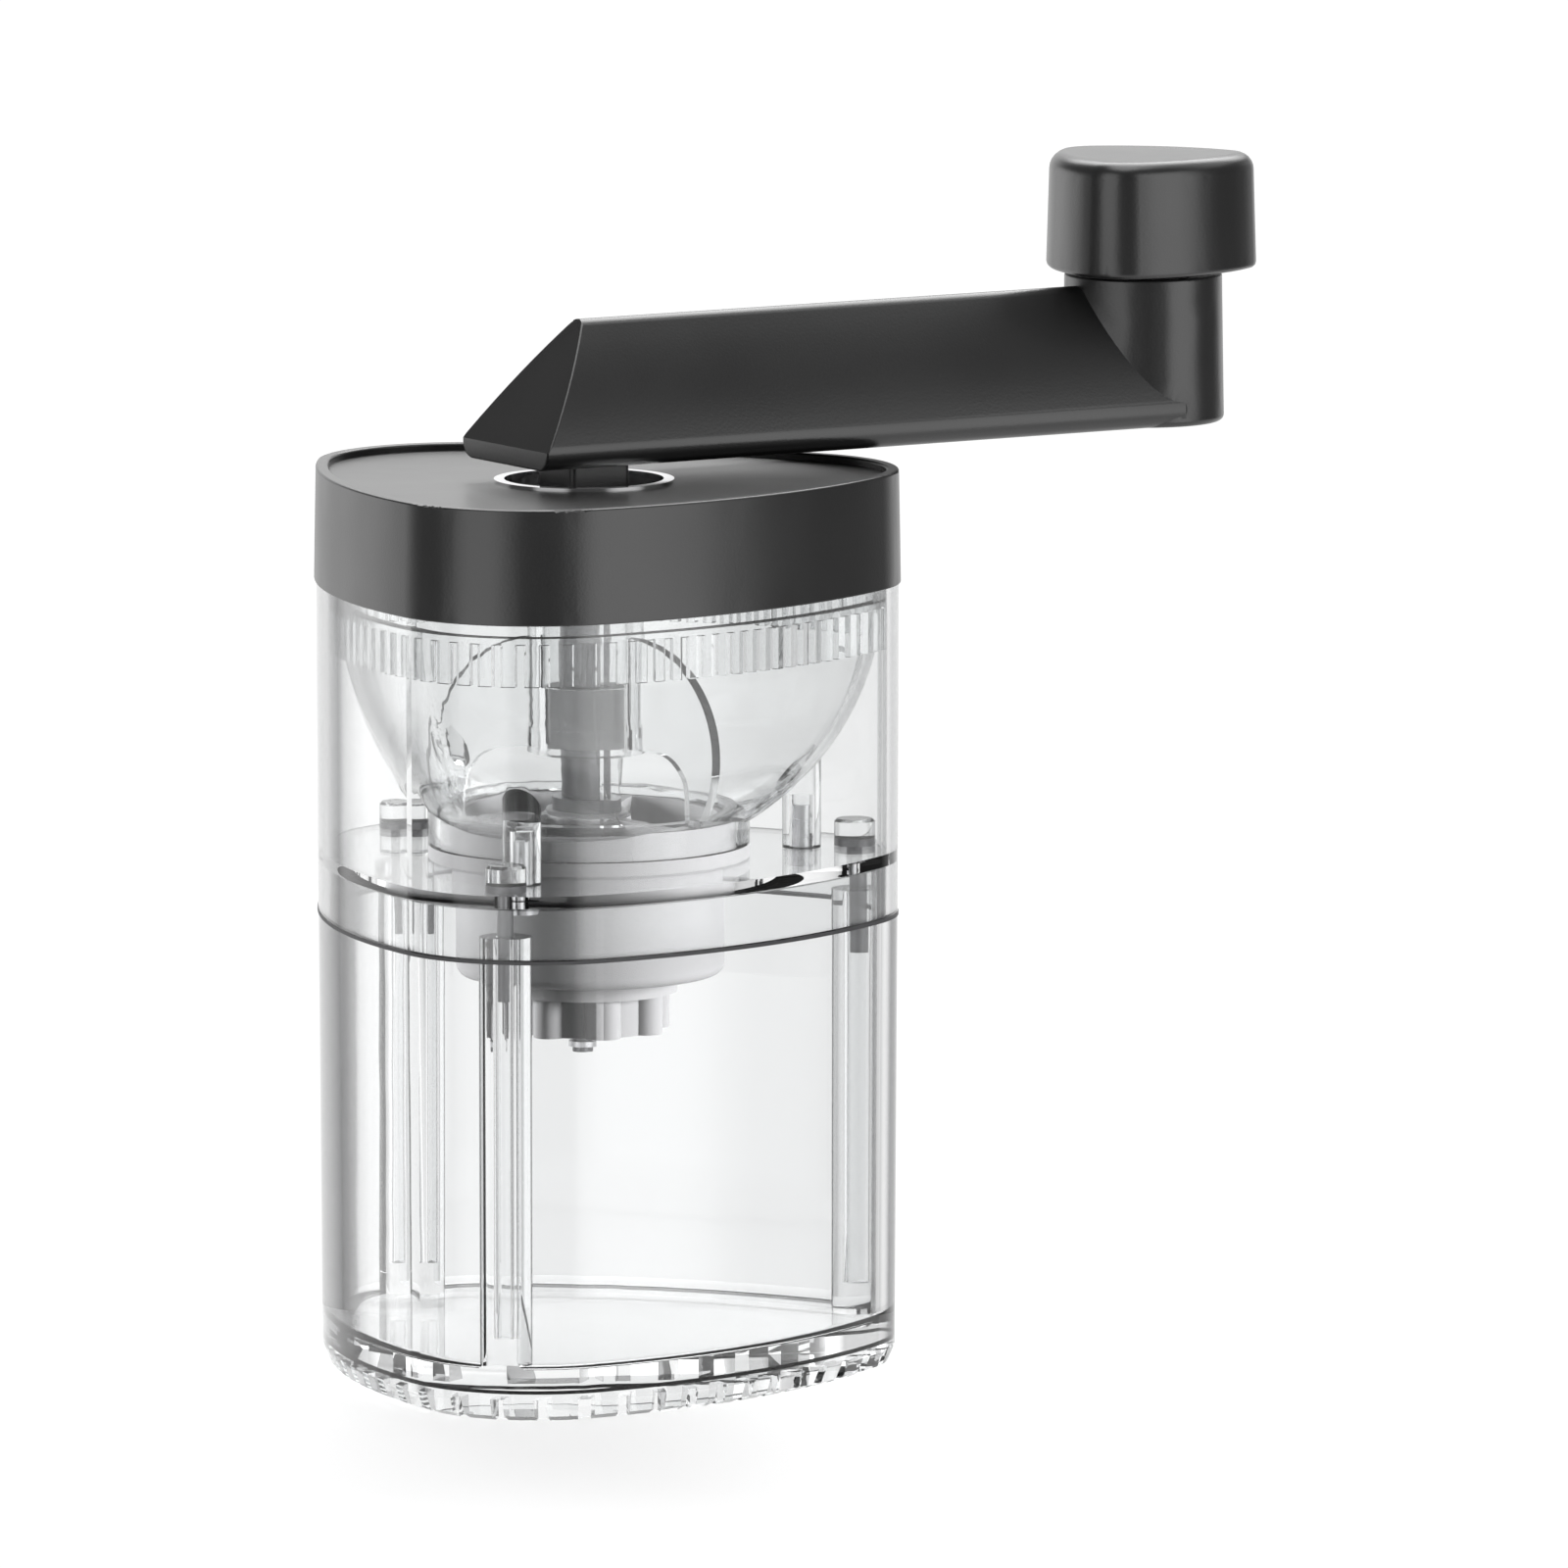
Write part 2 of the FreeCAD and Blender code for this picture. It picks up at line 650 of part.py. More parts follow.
hopper_bowl = new_body("hopper_bowl")
loft(hopper_bowl, "bowl", bowl_sections(hopper_bowl, "outer", "bowl_depth", "0"), ruled=False)
hopper_collar = sketch_on(hopper_bowl, "collar_outline", level=COLLAR_LOW)
outline(hopper_collar, COLLAR_INSET)
pad(hopper_bowl, "collar", hopper_collar, f"{COLLAR_TOP} - {COLLAR_LOW}")
hopper_neck = sketch_on(hopper_bowl, "neck_outline", level=FLANGE_TOP)
circle(hopper_neck, "neck_radius")
pad(hopper_bowl, "neck", hopper_neck, "neck_height")
hopper_boss = sketch_on(hopper_bowl, "boss_outline", level=SHELF_TOP)
circle(hopper_boss, "boss_radius", "boss_circle")
boss = pad(hopper_bowl, "boss", hopper_boss, "boss_height")
around(hopper_bowl, "bosses", [boss], "corner_count")
inner = bowl_sections(hopper_bowl, "inner", "(bowl_depth - 0.6 * bowl_wall)", "bowl_wall")
loft(hopper_bowl, "hollow", inner, cut=True, ruled=False)
hopper_mouth = sketch_on(hopper_bowl, "mouth_outline", level=COLLAR_TOP)
outline(hopper_mouth, f"({COLLAR_INSET} + collar_wall)")
pocket(hopper_bowl, "mouth", hopper_mouth, f"{COLLAR_TOP} - {COLLAR_LOW}")
hopper_throat = sketch_on(hopper_bowl, "throat_outline", level=FLANGE_TOP)
circle(hopper_throat, "(neck_radius - neck_wall)")
pocket(hopper_bowl, "throat", hopper_throat, "neck_height", upward=True)
hopper_groove = sketch_on(hopper_bowl, "seal_groove_outline", level=SEAL_LOW)
outline(hopper_groove, "0")
outline(hopper_groove, f"({LID_BORE} + seal_gap + seal_depth)")
pocket(hopper_bowl, "seal_groove", hopper_groove, "seal_height", upward=True)
hopper_pilot = sketch_on(hopper_bowl, "pilot_outline", level=SHELF_TOP)
circle(hopper_pilot, "(screw_radius + press_gap)", "boss_circle")
pilot_depth = "screw_length - shelf_thickness + screw_tip_gap"
pilot = pocket(hopper_bowl, "pilot", hopper_pilot, pilot_depth, upward=True)
around(hopper_bowl, "pilots", [pilot], "corner_count")

# Soft ring round the collar, just inside the lid
lid_seal = new_body("lid_seal")
seal_outline = sketch_on(lid_seal, "outline", level=SEAL_LOW)
outline(seal_outline, f"({LID_BORE} + seal_gap)")
outline(seal_outline, f"({LID_BORE} + seal_gap + seal_depth - press_gap)")
pad(lid_seal, "band", seal_outline, "seal_height")

# Bearing bridge: a guide tube held over the neck by three arched fins
bearing_bridge = new_body("bearing_bridge")
TUBE_LOW = f"({CARRIER_TOP} + tube_rise)"
TUBE_TOP = f"({TUBE_LOW} + tube_length)"
turned(bearing_bridge, "tube", [
    ("sleeve_radius", TUBE_LOW),
    ("tube_band_radius", TUBE_LOW),
    ("tube_band_radius", f"({TUBE_LOW} + tube_band_height)"),
    ("tube_radius", f"({TUBE_LOW} + tube_band_height)"),
    ("tube_radius", TUBE_TOP),
    ("tube_bore", TUBE_TOP),
    ("tube_bore", f"({TUBE_LOW} + sleeve_length)"),
    ("sleeve_radius", f"({TUBE_LOW} + sleeve_length)"),
])
bridge_foot = sketch_on(bearing_bridge, "foot_outline", level=CARRIER_TOP)
circle(bridge_foot, CARRIER_RIM)
circle(bridge_foot, f"({CARRIER_RIM} - bridge_ring_wall)")
pad(bearing_bridge, "foot", bridge_foot, "bridge_ring_height")
leg_section = sketch_on(bearing_bridge, "leg_section", "XZ_Plane")
KNEE = f"({CARRIER_TOP} + leg_knee_rise)"
LEG_TOP = f"({KNEE} + leg_curve)"
ARCH_TOP = f"({CARRIER_TOP} + arch_rise)"
ARCH_REACH = "(arch_root + arch_curve)"
TUBE_WALL = "((tube_bore + tube_radius) / 2)"
profile(leg_section, [
    (CARRIER_RIM, f"{CARRIER_TOP} + bridge_ring_height", "leg_curve", True),
    ("leg_reach", KNEE, "leg_curve", True),
    ("(leg_reach - leg_curve)", LEG_TOP),
    (TUBE_WALL, LEG_TOP),
    (TUBE_WALL, ARCH_TOP),
    ("arch_root", ARCH_TOP, "arch_curve", False),
    (ARCH_REACH, f"{ARCH_TOP} - arch_curve"),
    (ARCH_REACH, CARRIER_TOP),
    (CARRIER_RIM, CARRIER_TOP),
])
leg = pad(bearing_bridge, "leg", leg_section, "leg_thickness", both=True)
around(bearing_bridge, "legs", [leg], "corner_count")
swing(bearing_bridge, "bridge_angle")

# Upper bushing in the guide tube
upper_bushing = new_body("upper_bushing")
turned(upper_bushing, "sleeve", [
    (BUSHING_BORE, f"({TUBE_LOW} + sleeve_recess)"),
    ("sleeve_radius - press_gap", f"({TUBE_LOW} + sleeve_recess)"),
    ("sleeve_radius - press_gap", f"({TUBE_LOW} + sleeve_length)"),
    (BUSHING_BORE, f"({TUBE_LOW} + sleeve_length)"),
])

# Burr carrier: a flanged cup that hangs from the shelf, with a spoked hub over the burrs
burr_carrier = new_body("burr_carrier")
BURR_SEAT = "(burr_radius + press_gap)"
turned(burr_carrier, "cup", [
    (BURR_SEAT, CARRIER_LOW),
    ("carrier_radius - carrier_round", CARRIER_LOW, "carrier_round", True),
    ("carrier_radius", f"{CARRIER_LOW} + carrier_round"),
    ("carrier_radius", SHELF_TOP),
    ("neck_radius", SHELF_TOP),
    ("neck_radius", FLANGE_TOP),
    (CARRIER_RIM, FLANGE_TOP),
    (CARRIER_RIM, CARRIER_TOP),
    (f"{CARRIER_RIM} - mouth_lip", CARRIER_TOP),
    ("carrier_mouth", BURR_TOP),
    (BURR_SEAT, BURR_TOP),
])
spoke_outline = sketch_on(burr_carrier, "spoke_outline", level=f"{CARRIER_TOP} - spoke_depth")
rectangle(spoke_outline, "-carrier_radius", f"-({BUSHING_RADIUS} + 1)", "spoke_width")
spoke = pad(burr_carrier, "spoke", spoke_outline, "spoke_depth")
around(burr_carrier, "spokes", [spoke], "corner_count")
hub_outline = sketch_on(burr_carrier, "hub_outline", level=HUB_LOW)
circle(hub_outline, "hub_radius")
pad(burr_carrier, "hub", hub_outline, "hub_length")
hub_bore = sketch_on(burr_carrier, "hub_bore", level=CARRIER_TOP)
circle(hub_bore, f"({BUSHING_RADIUS} + press_gap)")
burr_carrier.Tip = pocket(burr_carrier, "bushing_seat", hub_bore, "hub_length")

# Lower bushing in the hub, with a flange under the shaft's collar
lower_bushing = new_body("lower_bushing")
turned(lower_bushing, "sleeve", [
    (BUSHING_BORE, HUB_LOW),
    (BUSHING_RADIUS, HUB_LOW),
    (BUSHING_RADIUS, CARRIER_TOP),
    (f"({BUSHING_RADIUS} + bushing_lip)", CARRIER_TOP),
    (f"({BUSHING_RADIUS} + bushing_lip)", BUSHING_TOP),
    (BUSHING_BORE, BUSHING_TOP),
])

# Ring burr: an inverted cone with slanted grooves, pressed into the carrier
outer_burr = new_body("outer_burr")
turned(outer_burr, "ring", [
    ("ring_exit", BURR_LOW),
    ("burr_radius", BURR_LOW),
    ("burr_radius", BURR_TOP),
    ("ring_mouth", BURR_TOP),
])


def groove_section(body, name, level, floor, over, width, turn):
    # A wedge that is narrow at the groove's floor and wide where it leaves the burr
    sketch = sketch_on(body, name, level=level)
    wide = f"({width}) / 2"
    narrow = f"0.3 * {wide}"
    corners = []
    for reach, flank in ((floor, narrow), (floor, f"-{narrow}"), (over, f"-{wide}"), (over, wide)):
        across = f"({reach}) * cos({turn}) - ({flank}) * sin({turn})"
        up = f"({reach}) * sin({turn}) + ({flank}) * cos({turn})"
        corners.append((across, up))
    profile(sketch, corners)
    return sketch


groove_low = groove_section(outer_burr, "groove_low", BURR_LOW, "ring_exit + ring_groove",
                            "ring_exit - 2 * ring_groove", "groove_width", "groove_twist")
groove_high = groove_section(outer_burr, "groove_high", BURR_TOP, "ring_mouth + ring_groove",
                             "ring_mouth - 2 * ring_groove", "groove_width", "0")
groove = loft(outer_burr, "groove", [groove_low, groove_high], cut=True)
around(outer_burr, "grooves", [groove], "groove_count")

# Cone burr: a swelling cone with twisted flutes, a pocket for the spring and a keyed bore
inner_burr = new_body("inner_burr")
swing(inner_burr)
turned(inner_burr, "cone", [
    ("0", BURR_LOW),
    ("cone_base", BURR_LOW, "cone_curve", True),
    ("cone_top", CONE_TOP),
    ("0", CONE_TOP),
])
flute_low = groove_section(inner_burr, "flute_low", BURR_LOW, "cone_base - flute_base_depth",
                           "cone_base + flute_over", "flute_base_width", "flute_twist")
flute_high = groove_section(inner_burr, "flute_high", CONE_TOP, "cone_top - flute_top_depth",
                            "cone_top + flute_over", "flute_top_width", "0")
flute = loft(inner_burr, "flute", [flute_low, flute_high], cut=True)
around(inner_burr, "flutes", [flute], "flute_count")
cone_pocket = sketch_on(inner_burr, "spring_pocket_outline", level=CONE_TOP)
circle(cone_pocket, "spring_bore")
pocket(inner_burr, "spring_pocket", cone_pocket, "spring_depth")
cone_recess = sketch_on(inner_burr, "seat_recess_outline", level=BURR_LOW)
circle(cone_recess, "(seat_boss_radius + seat_gap)")
pocket(inner_burr, "seat_recess", cone_recess, "seat_boss_height + seat_gap", upward=True)
cone_bore = sketch_on(inner_burr, "bore_outline", level=BURR_LOW)
flatted(cone_bore, BUSHING_BORE, "shaft_flats + 2 * running_gap")
inner_burr.Tip = pocket(inner_burr, "bore", cone_bore, "burr_height", upward=True)

# Seat under the cone burr, with a boss in its recess and the same keyed bore
burr_seat = new_body("burr_seat")
swing(burr_seat)
seat_outline = sketch_on(burr_seat, "outline", level=SEAT_LOW)
circle(seat_outline, "seat_radius")
pad(burr_seat, "disc", seat_outline, "seat_thickness")
seat_boss = sketch_on(burr_seat, "boss_outline", level=BURR_LOW)
circle(seat_boss, "seat_boss_radius")
pad(burr_seat, "boss", seat_boss, "seat_boss_height")
seat_bore = sketch_on(burr_seat, "bore_outline", level=SEAT_LOW)
flatted(seat_bore, BUSHING_BORE, "shaft_flats + 2 * running_gap")
pocket(burr_seat, "bore", seat_bore, "seat_thickness + seat_boss_height", upward=True)

# Adjusting nut with finger lobes
adjusting_nut = new_body("adjusting_nut")
nut_outline = sketch_on(adjusting_nut, "outline", level=NUT_LOW)
circle(nut_outline, "nut_radius")
pad(adjusting_nut, "disc", nut_outline, "nut_height")
nut_lobe = sketch_on(adjusting_nut, "lobe_outline", level=NUT_LOW)
circle(nut_lobe, "lobe_radius", "nut_radius + lobe_reach - lobe_radius")
lobe = pad(adjusting_nut, "lobe", nut_lobe, "nut_height")
around(adjusting_nut, "lobes", [lobe], "lobe_count")
nut_bore = sketch_on(adjusting_nut, "bore_outline", level=NUT_TOP)
circle(nut_bore, "(thread_radius + running_gap)")
adjusting_nut.Tip = pocket(adjusting_nut, "bore", nut_bore, "nut_height")

# Shaft: a clip tip, a threaded end, flats for the burr, a thrust collar and a hexagonal top
shaft = new_body("shaft")
swing(shaft)
turned(shaft, "rod", [
    ("0", TIP_LOW),
    ("tip_radius", TIP_LOW),
    ("tip_radius", CLIP_LOW),
    ("(tip_radius - clip_groove)", CLIP_LOW),
    ("(tip_radius - clip_groove)", f"({CLIP_LOW} + clip_thickness)"),
    ("tip_radius", f"({CLIP_LOW} + clip_thickness)"),
    ("tip_radius", NUT_LOW),
    ("thread_radius", NUT_LOW),
    ("thread_radius", THREAD_TOP),
    ("shaft_radius", THREAD_TOP),
    ("shaft_radius", BUSHING_TOP),
    ("collar_radius", BUSHING_TOP),
    ("collar_radius", f"({BUSHING_TOP} + collar_length)"),
    ("shaft_radius", f"({BUSHING_TOP} + collar_length)"),
    ("shaft_radius", HEX_LOW),
    ("0", HEX_LOW),
])
shaft_flats = sketch_on(shaft, "flats_outline", level=THREAD_TOP)
circle(shaft_flats, "(shaft_radius + 2 * seat_gap)")
flatted(shaft_flats, "(shaft_radius + seat_gap)", "shaft_flats")
pocket(shaft, "flats", shaft_flats, "flats_length", upward=True)
shaft_hex = sketch_on(shaft, "hex_outline", level=HEX_LOW)
hexagon(shaft_hex, "hex_across")
pad(shaft, "hex", shaft_hex, f"{SHAFT_TOP} - {HEX_LOW}")

# Washer under the lower bushing
spring_washer = new_body("spring_washer")
washer_outline = sketch_on(spring_washer, "outline", level=WASHER_LOW)
circle(washer_outline, "washer_radius")
circle(washer_outline, BUSHING_BORE)
pad(spring_washer, "disc", washer_outline, "washer_thickness")

# Clip on the shaft's tip, open on one side
end_clip = new_body("end_clip")
clip_outline = sketch_on(end_clip, "outline", level=CLIP_LOW)
circle(clip_outline, "clip_radius")
circle(clip_outline, "(tip_radius - clip_groove + press_gap)")
pad(end_clip, "ring", clip_outline, "clip_thickness")
clip_slot = sketch_on(end_clip, "slot_outline", level=CLIP_LOW)
rectangle(clip_slot, "0", "(2 * clip_radius)", "clip_slot")
pocket(end_clip, "slot", clip_slot, "clip_thickness", upward=True)

# Screws that hold the hopper down on the shelf
hopper_screws = new_body("hopper_screws")
screw = turned(hopper_screws, "screw", [
    ("0", f"({SHELF_LOW} - screw_head_height)"),
    ("screw_head_radius", f"({SHELF_LOW} - screw_head_height)"),
    ("screw_head_radius", SHELF_LOW),
    ("screw_radius", SHELF_LOW),
    ("screw_radius", f"({SHELF_LOW} + screw_length)"),
    ("0", f"({SHELF_LOW} + screw_length)"),
], shift="boss_circle")
screw_drive = sketch_on(hopper_screws, "drive_outline", level=f"({SHELF_LOW} - screw_head_height)")
circle(screw_drive, "screw_drive / 2", "boss_circle")
drive = pocket(hopper_screws, "drive", screw_drive, "screw_drive_depth", upward=True)
around(hopper_screws, "screws", [screw, drive], "corner_count")

# Headed pins through the shelf into the jar's posts
locating_pins = new_body("locating_pins")
HEAD_TOP = f"({SHELF_TOP} + pin_head_height)"
pin = turned(locating_pins, "pin", [
    ("0", f"({SHELF_TOP} - pin_length)"),
    ("pin_radius", f"({SHELF_TOP} - pin_length)"),
    ("pin_radius", SHELF_TOP),
    ("pin_head_radius", SHELF_TOP),
    ("pin_head_radius", f"({HEAD_TOP} - pin_head_chamfer)"),
    ("(pin_head_radius - pin_head_chamfer)", HEAD_TOP),
    ("0", HEAD_TOP),
], shift=POST_CIRCLE)
around(locating_pins, "pins", [pin], "corner_count")

# Lid: a drafted cap with a recessed top and a round hole
lid = new_body("lid")
lid_low = sketch_on(lid, "wall_low", level=SHELL_TOP)
outline(lid_low)
lid_high = sketch_on(lid, "wall_high", level=LID_TOP)
outline(lid_high, "lid_draft")
loft(lid, "wall", [lid_low, lid_high])
lid_inside = sketch_on(lid, "inside_outline", level=SHELL_TOP)
outline(lid_inside, LID_BORE)
pocket(lid, "inside", lid_inside, f"{PLATE_LOW} - {SHELL_TOP}", upward=True)
lid_recess = sketch_on(lid, "recess_outline", level=LID_TOP)
outline(lid_recess, "(lid_draft + lid_rim)")
recess = pocket(lid, "recess", lid_recess, "recess_depth")
rim_edges = level_edges(recess, LID_TOP, low=number(f"{SIDE_REACH} - lid_draft - lid_rim / 2"))
rounded(lid, "rim_edge", recess, rim_edges, "lid_round")
lid_hole = sketch_on(lid, "hole_outline", level=LID_TOP)
circle(lid_hole, "(ring_bore + ring_wall + press_gap)")
pocket(lid, "hole", lid_hole, f"{LID_TOP} - {PLATE_LOW}")

# Bright ring pressed into the lid's hole
lid_ring = new_body("lid_ring")
turned(lid_ring, "sleeve", [
    ("ring_bore", PLATE_LOW),
    ("(ring_bore + ring_wall)", PLATE_LOW),
    ("(ring_bore + ring_wall)", PLATE_TOP),
    ("(ring_bore + ring_wall + ring_lip)", PLATE_TOP),
    ("(ring_bore + ring_wall + ring_lip)", f"({PLATE_TOP} + ring_rise)"),
    ("ring_bore", f"({PLATE_TOP} + ring_rise)"),
])


# Crank: a bar of rounded triangular section with a slanted end and a round post
def enclosing_centre(first, first_radius, second, second_radius, radius):
    # Centre of the larger circle that touches two smaller ones from outside, on the left of their line
    reach = radius - first_radius
    other = radius - second_radius
    chord = second - first
    along = (reach ** 2 - other ** 2 + chord.Length ** 2) / (2 * chord.Length)
    rise = math.sqrt(reach ** 2 - along ** 2)
    unit = V(chord).normalize()
    return first + unit * along + V(-unit.y, unit.x, 0) * rise


def arm_section(sketch):
    low = number("arm_low_round")
    ridge = number("arm_ridge_round")
    side = number("arm_side_curve")
    right = V(number("arm_half_width") - low, number(ARM_LOW) + low, 0)
    left = V(-right.x, right.y, 0)
    top = V(0, number(ARM_TOP) - ridge, 0)
    right_flank = enclosing_centre(right, low, top, ridge, side)
    left_flank = V(-right_flank.x, right_flank.y, 0)
    out = (right - right_flank).normalize()
    over = (top - right_flank).normalize()
    lower = math.atan2(out.y, out.x)
    upper = math.atan2(over.y, over.x)

    def arc(centre, radius, start, end):
        return Part.ArcOfCircle(Part.Circle(centre, V(0, 0, 1), radius), start, end)

    sketch.addGeometry(Part.LineSegment(V(left.x, left.y - low, 0), V(right.x, right.y - low, 0)), False)
    sketch.addGeometry(arc(right, low, -math.pi / 2, lower), False)
    sketch.addGeometry(arc(right_flank, side, lower, upper), False)
    sketch.addGeometry(arc(top, ridge, upper, math.pi - upper), False)
    sketch.addGeometry(arc(left_flank, side, math.pi - upper, math.pi - lower), False)
    sketch.addGeometry(arc(left, low, math.pi - lower, 1.5 * math.pi), False)
    for index in range(6):
        sketch.addConstraint(C("Tangent", index, 2, (index + 1) % 6, 1))
    bind(sketch, C("Radius", 1, low), "arm_low_round")
    bind(sketch, C("Radius", 2, side), "arm_side_curve")
    bind(sketch, C("Radius", 3, ridge), "arm_ridge_round")
    sketch.addConstraint(C("Equal", 1, 5))
    sketch.addConstraint(C("Equal", 2, 4))
    sketch.addConstraint(C("PointOnObject", 3, 3, -2))
    bind(sketch, C("DistanceY", *ORIGIN, 3, 3, top.y), f"{ARM_TOP} - arm_ridge_round")
    bind(sketch, C("DistanceY", *ORIGIN, 1, 3, right.y), f"{ARM_LOW} + arm_low_round")
    bind(sketch, C("DistanceX", *ORIGIN, 1, 3, right.x), "arm_half_width - arm_low_round")
    bind(sketch, C("DistanceX", 5, 3, *ORIGIN, right.x), "arm_half_width - arm_low_round")


crank_arm = new_body("crank_arm")
swing(crank_arm)
arm_outline = sketch_on(crank_arm, "section", "YZ_Plane", level="-arm_tail")
arm_section(arm_outline)
pad(crank_arm, "bar", arm_outline, "arm_tail + crank_radius")
TAIL_STEP = "(tail_slope / (arm_height - tail_height))"
tail_cut = sketch_on(crank_arm, "tail_section", "XZ_Plane")
profile(tail_cut, [
    (f"-(arm_tail + {TAIL_STEP} * tail_height)", f"{ARM_LOW}"),
    (f"(tail_slope - arm_tail + {TAIL_STEP} * tail_height)", f"({ARM_TOP} + tail_height)"),
    (f"-(arm_tail + {TAIL_STEP} * tail_height)", f"({ARM_TOP} + tail_height)"),
])
pocket(crank_arm, "tail_face", tail_cut, "4 * arm_half_width", both=True)
turned(crank_arm, "post", [
    ("0", ARM_LOW),
    ("post_low_radius - post_low_round", ARM_LOW, "post_low_round", True),
    ("post_low_radius", f"({ARM_LOW} + post_low_round)"),
    ("post_high_radius", f"({ARM_POST_TOP} - post_top_round)", "post_top_round", True),
    ("post_high_radius - post_top_round", ARM_POST_TOP),
    ("0", ARM_POST_TOP),
], shift="crank_radius")


def block_outline(sketch, width, corner):
    # A square with rounded corners
    half = f"({width}) / 2"
    flat = f"(({width}) / 2 - ({corner}))"
    profile(sketch, [
        (half, f"-{flat}"), (half, flat, corner, True),
        (flat, half), (f"-{flat}", half, corner, True),
        (f"-{half}", flat), (f"-{half}", f"-{flat}", corner, True),
        (f"-{flat}", f"-{half}"), (flat, f"-{half}", corner, True),
    ])


arm_socket = sketch_on(crank_arm, "block_socket", level=ARM_LOW)
block_outline(arm_socket, "block_width + 2 * press_gap", "block_corner + press_gap")
pocket(crank_arm, "block_seat", arm_socket, "block_sink", upward=True)
axle_hole = sketch_on(crank_arm, "axle_hole", level=ARM_POST_TOP)
circle(axle_hole, "(axle_radius + press_gap)", "crank_radius")
pocket(crank_arm, "axle_seat", axle_hole, "axle_sink")

# Square drive block pressed up into the arm, with a hexagonal socket for the shaft
drive_socket = new_body("drive_socket")
swing(drive_socket)
socket_outline = sketch_on(drive_socket, "outline", level=BLOCK_LOW)
block_outline(socket_outline, "block_width", "block_corner")
pad(drive_socket, "block", socket_outline, "block_drop + block_sink")
socket_hex = sketch_on(drive_socket, "hex_outline", level=BLOCK_LOW)
hexagon(socket_hex, "hex_across + 2 * running_gap")
pocket(drive_socket, "hex", socket_hex, "hex_length + seat_gap", upward=True)


def at_post(body, angle=None):
    body.setExpression("Placement.Base.x", on_sheet("crank_radius * cos(crank_angle)"))
    body.setExpression("Placement.Base.y", on_sheet("crank_radius * sin(crank_angle)"))
    if angle:
        body.setExpression("Placement.Rotation.Angle", on_sheet(angle))


# Axle pressed into the post, with a groove near its top that holds the knob
knob_axle = new_body("knob_axle")
at_post(knob_axle)
turned(knob_axle, "pin", [
    ("0", f"({ARM_POST_TOP} - axle_sink)"),
    ("axle_radius", f"({ARM_POST_TOP} - axle_sink)"),
    ("axle_radius", f"({SNAP_LOW} - snap_height)"),
    ("axle_radius - snap_depth", f"({SNAP_LOW} - snap_height)"),
    ("axle_radius - snap_depth", SNAP_LOW),
    ("axle_radius", SNAP_LOW),
    ("axle_radius", AXLE_TOP),
    ("0", AXLE_TOP),
])

# Thin washer between the post and the knob
knob_washer = new_body("knob_washer")
at_post(knob_washer)
plain_washer = sketch_on(knob_washer, "outline", level=WASHER_SEAT)
circle(plain_washer, "knob_washer_radius")
circle(plain_washer, "(axle_radius + seat_gap)")
pad(knob_washer, "disc", plain_washer, "knob_washer_thickness")

# Knob: a small rounded triangle with a softly rounded top and a bore with a snap lip
knob = new_body("knob")
at_post(knob, "knob_angle")
knob_sections = []
for angle in (0, 30, 60, 90):
    edge = sketch_on(knob, f"low_{angle}", level=f"{KNOB_LOW} + knob_low_round * (1 - cos({angle}))")
    outline(edge, f"(knob_low_round * (1 - sin({angle})))", shape=KNOB_SHAPE)
    knob_sections.append(edge)
for angle in (0, 15, 30, 45, 60, 75, 90):
    edge = sketch_on(knob, f"top_{angle}", level=f"{KNOB_TOP} - knob_top_round * (1 - sin({angle}))")
    outline(edge, f"(knob_draft + knob_top_round * (1 - cos({angle})))", shape=KNOB_SHAPE)
    knob_sections.append(edge)
loft(knob, "wall", knob_sections)
KNOB_BORE = "(axle_radius + running_gap)"
LIP_BORE = "(axle_radius - snap_depth + running_gap)"
turned(knob, "bore", [
    ("0", KNOB_LOW),
    (KNOB_BORE, KNOB_LOW),
    (KNOB_BORE, f"({SNAP_LOW} - snap_height + seat_gap)"),
    (LIP_BORE, f"({SNAP_LOW} - snap_height + seat_gap)"),
    (LIP_BORE, f"({SNAP_LOW} - seat_gap)"),
    (KNOB_BORE, f"({SNAP_LOW} - seat_gap)"),
    (KNOB_BORE, f"({AXLE_TOP} + body_gap)"),
    ("0", f"({AXLE_TOP} + body_gap)"),
], cut=True)

# Burr spring: one coil of round wire from the washer down to the cone burr's pocket
burr_spring = doc.addObject("Part::Feature", "burr_spring")
burr_spring.Label = "burr_spring"
wire_radius = number("spring_wire") / 2
coil_radius = number("spring_radius")
coil_low = number(SPRING_LOW) + wire_radius + number("seat_gap")
coil_high = number(WASHER_LOW) - wire_radius - number("seat_gap")
halves = int(number("spring_turns")) * 2


def coil_point(turns):
    point = polar(360 * turns, coil_radius)
    point.z = coil_low + (coil_high - coil_low) * turns / number("spring_turns")
    return point


def coil_tangent(turns):
    tangent = polar(360 * turns + 90, 2 * math.pi * coil_radius)
    tangent.z = (coil_high - coil_low) / number("spring_turns")
    return tangent.normalize()


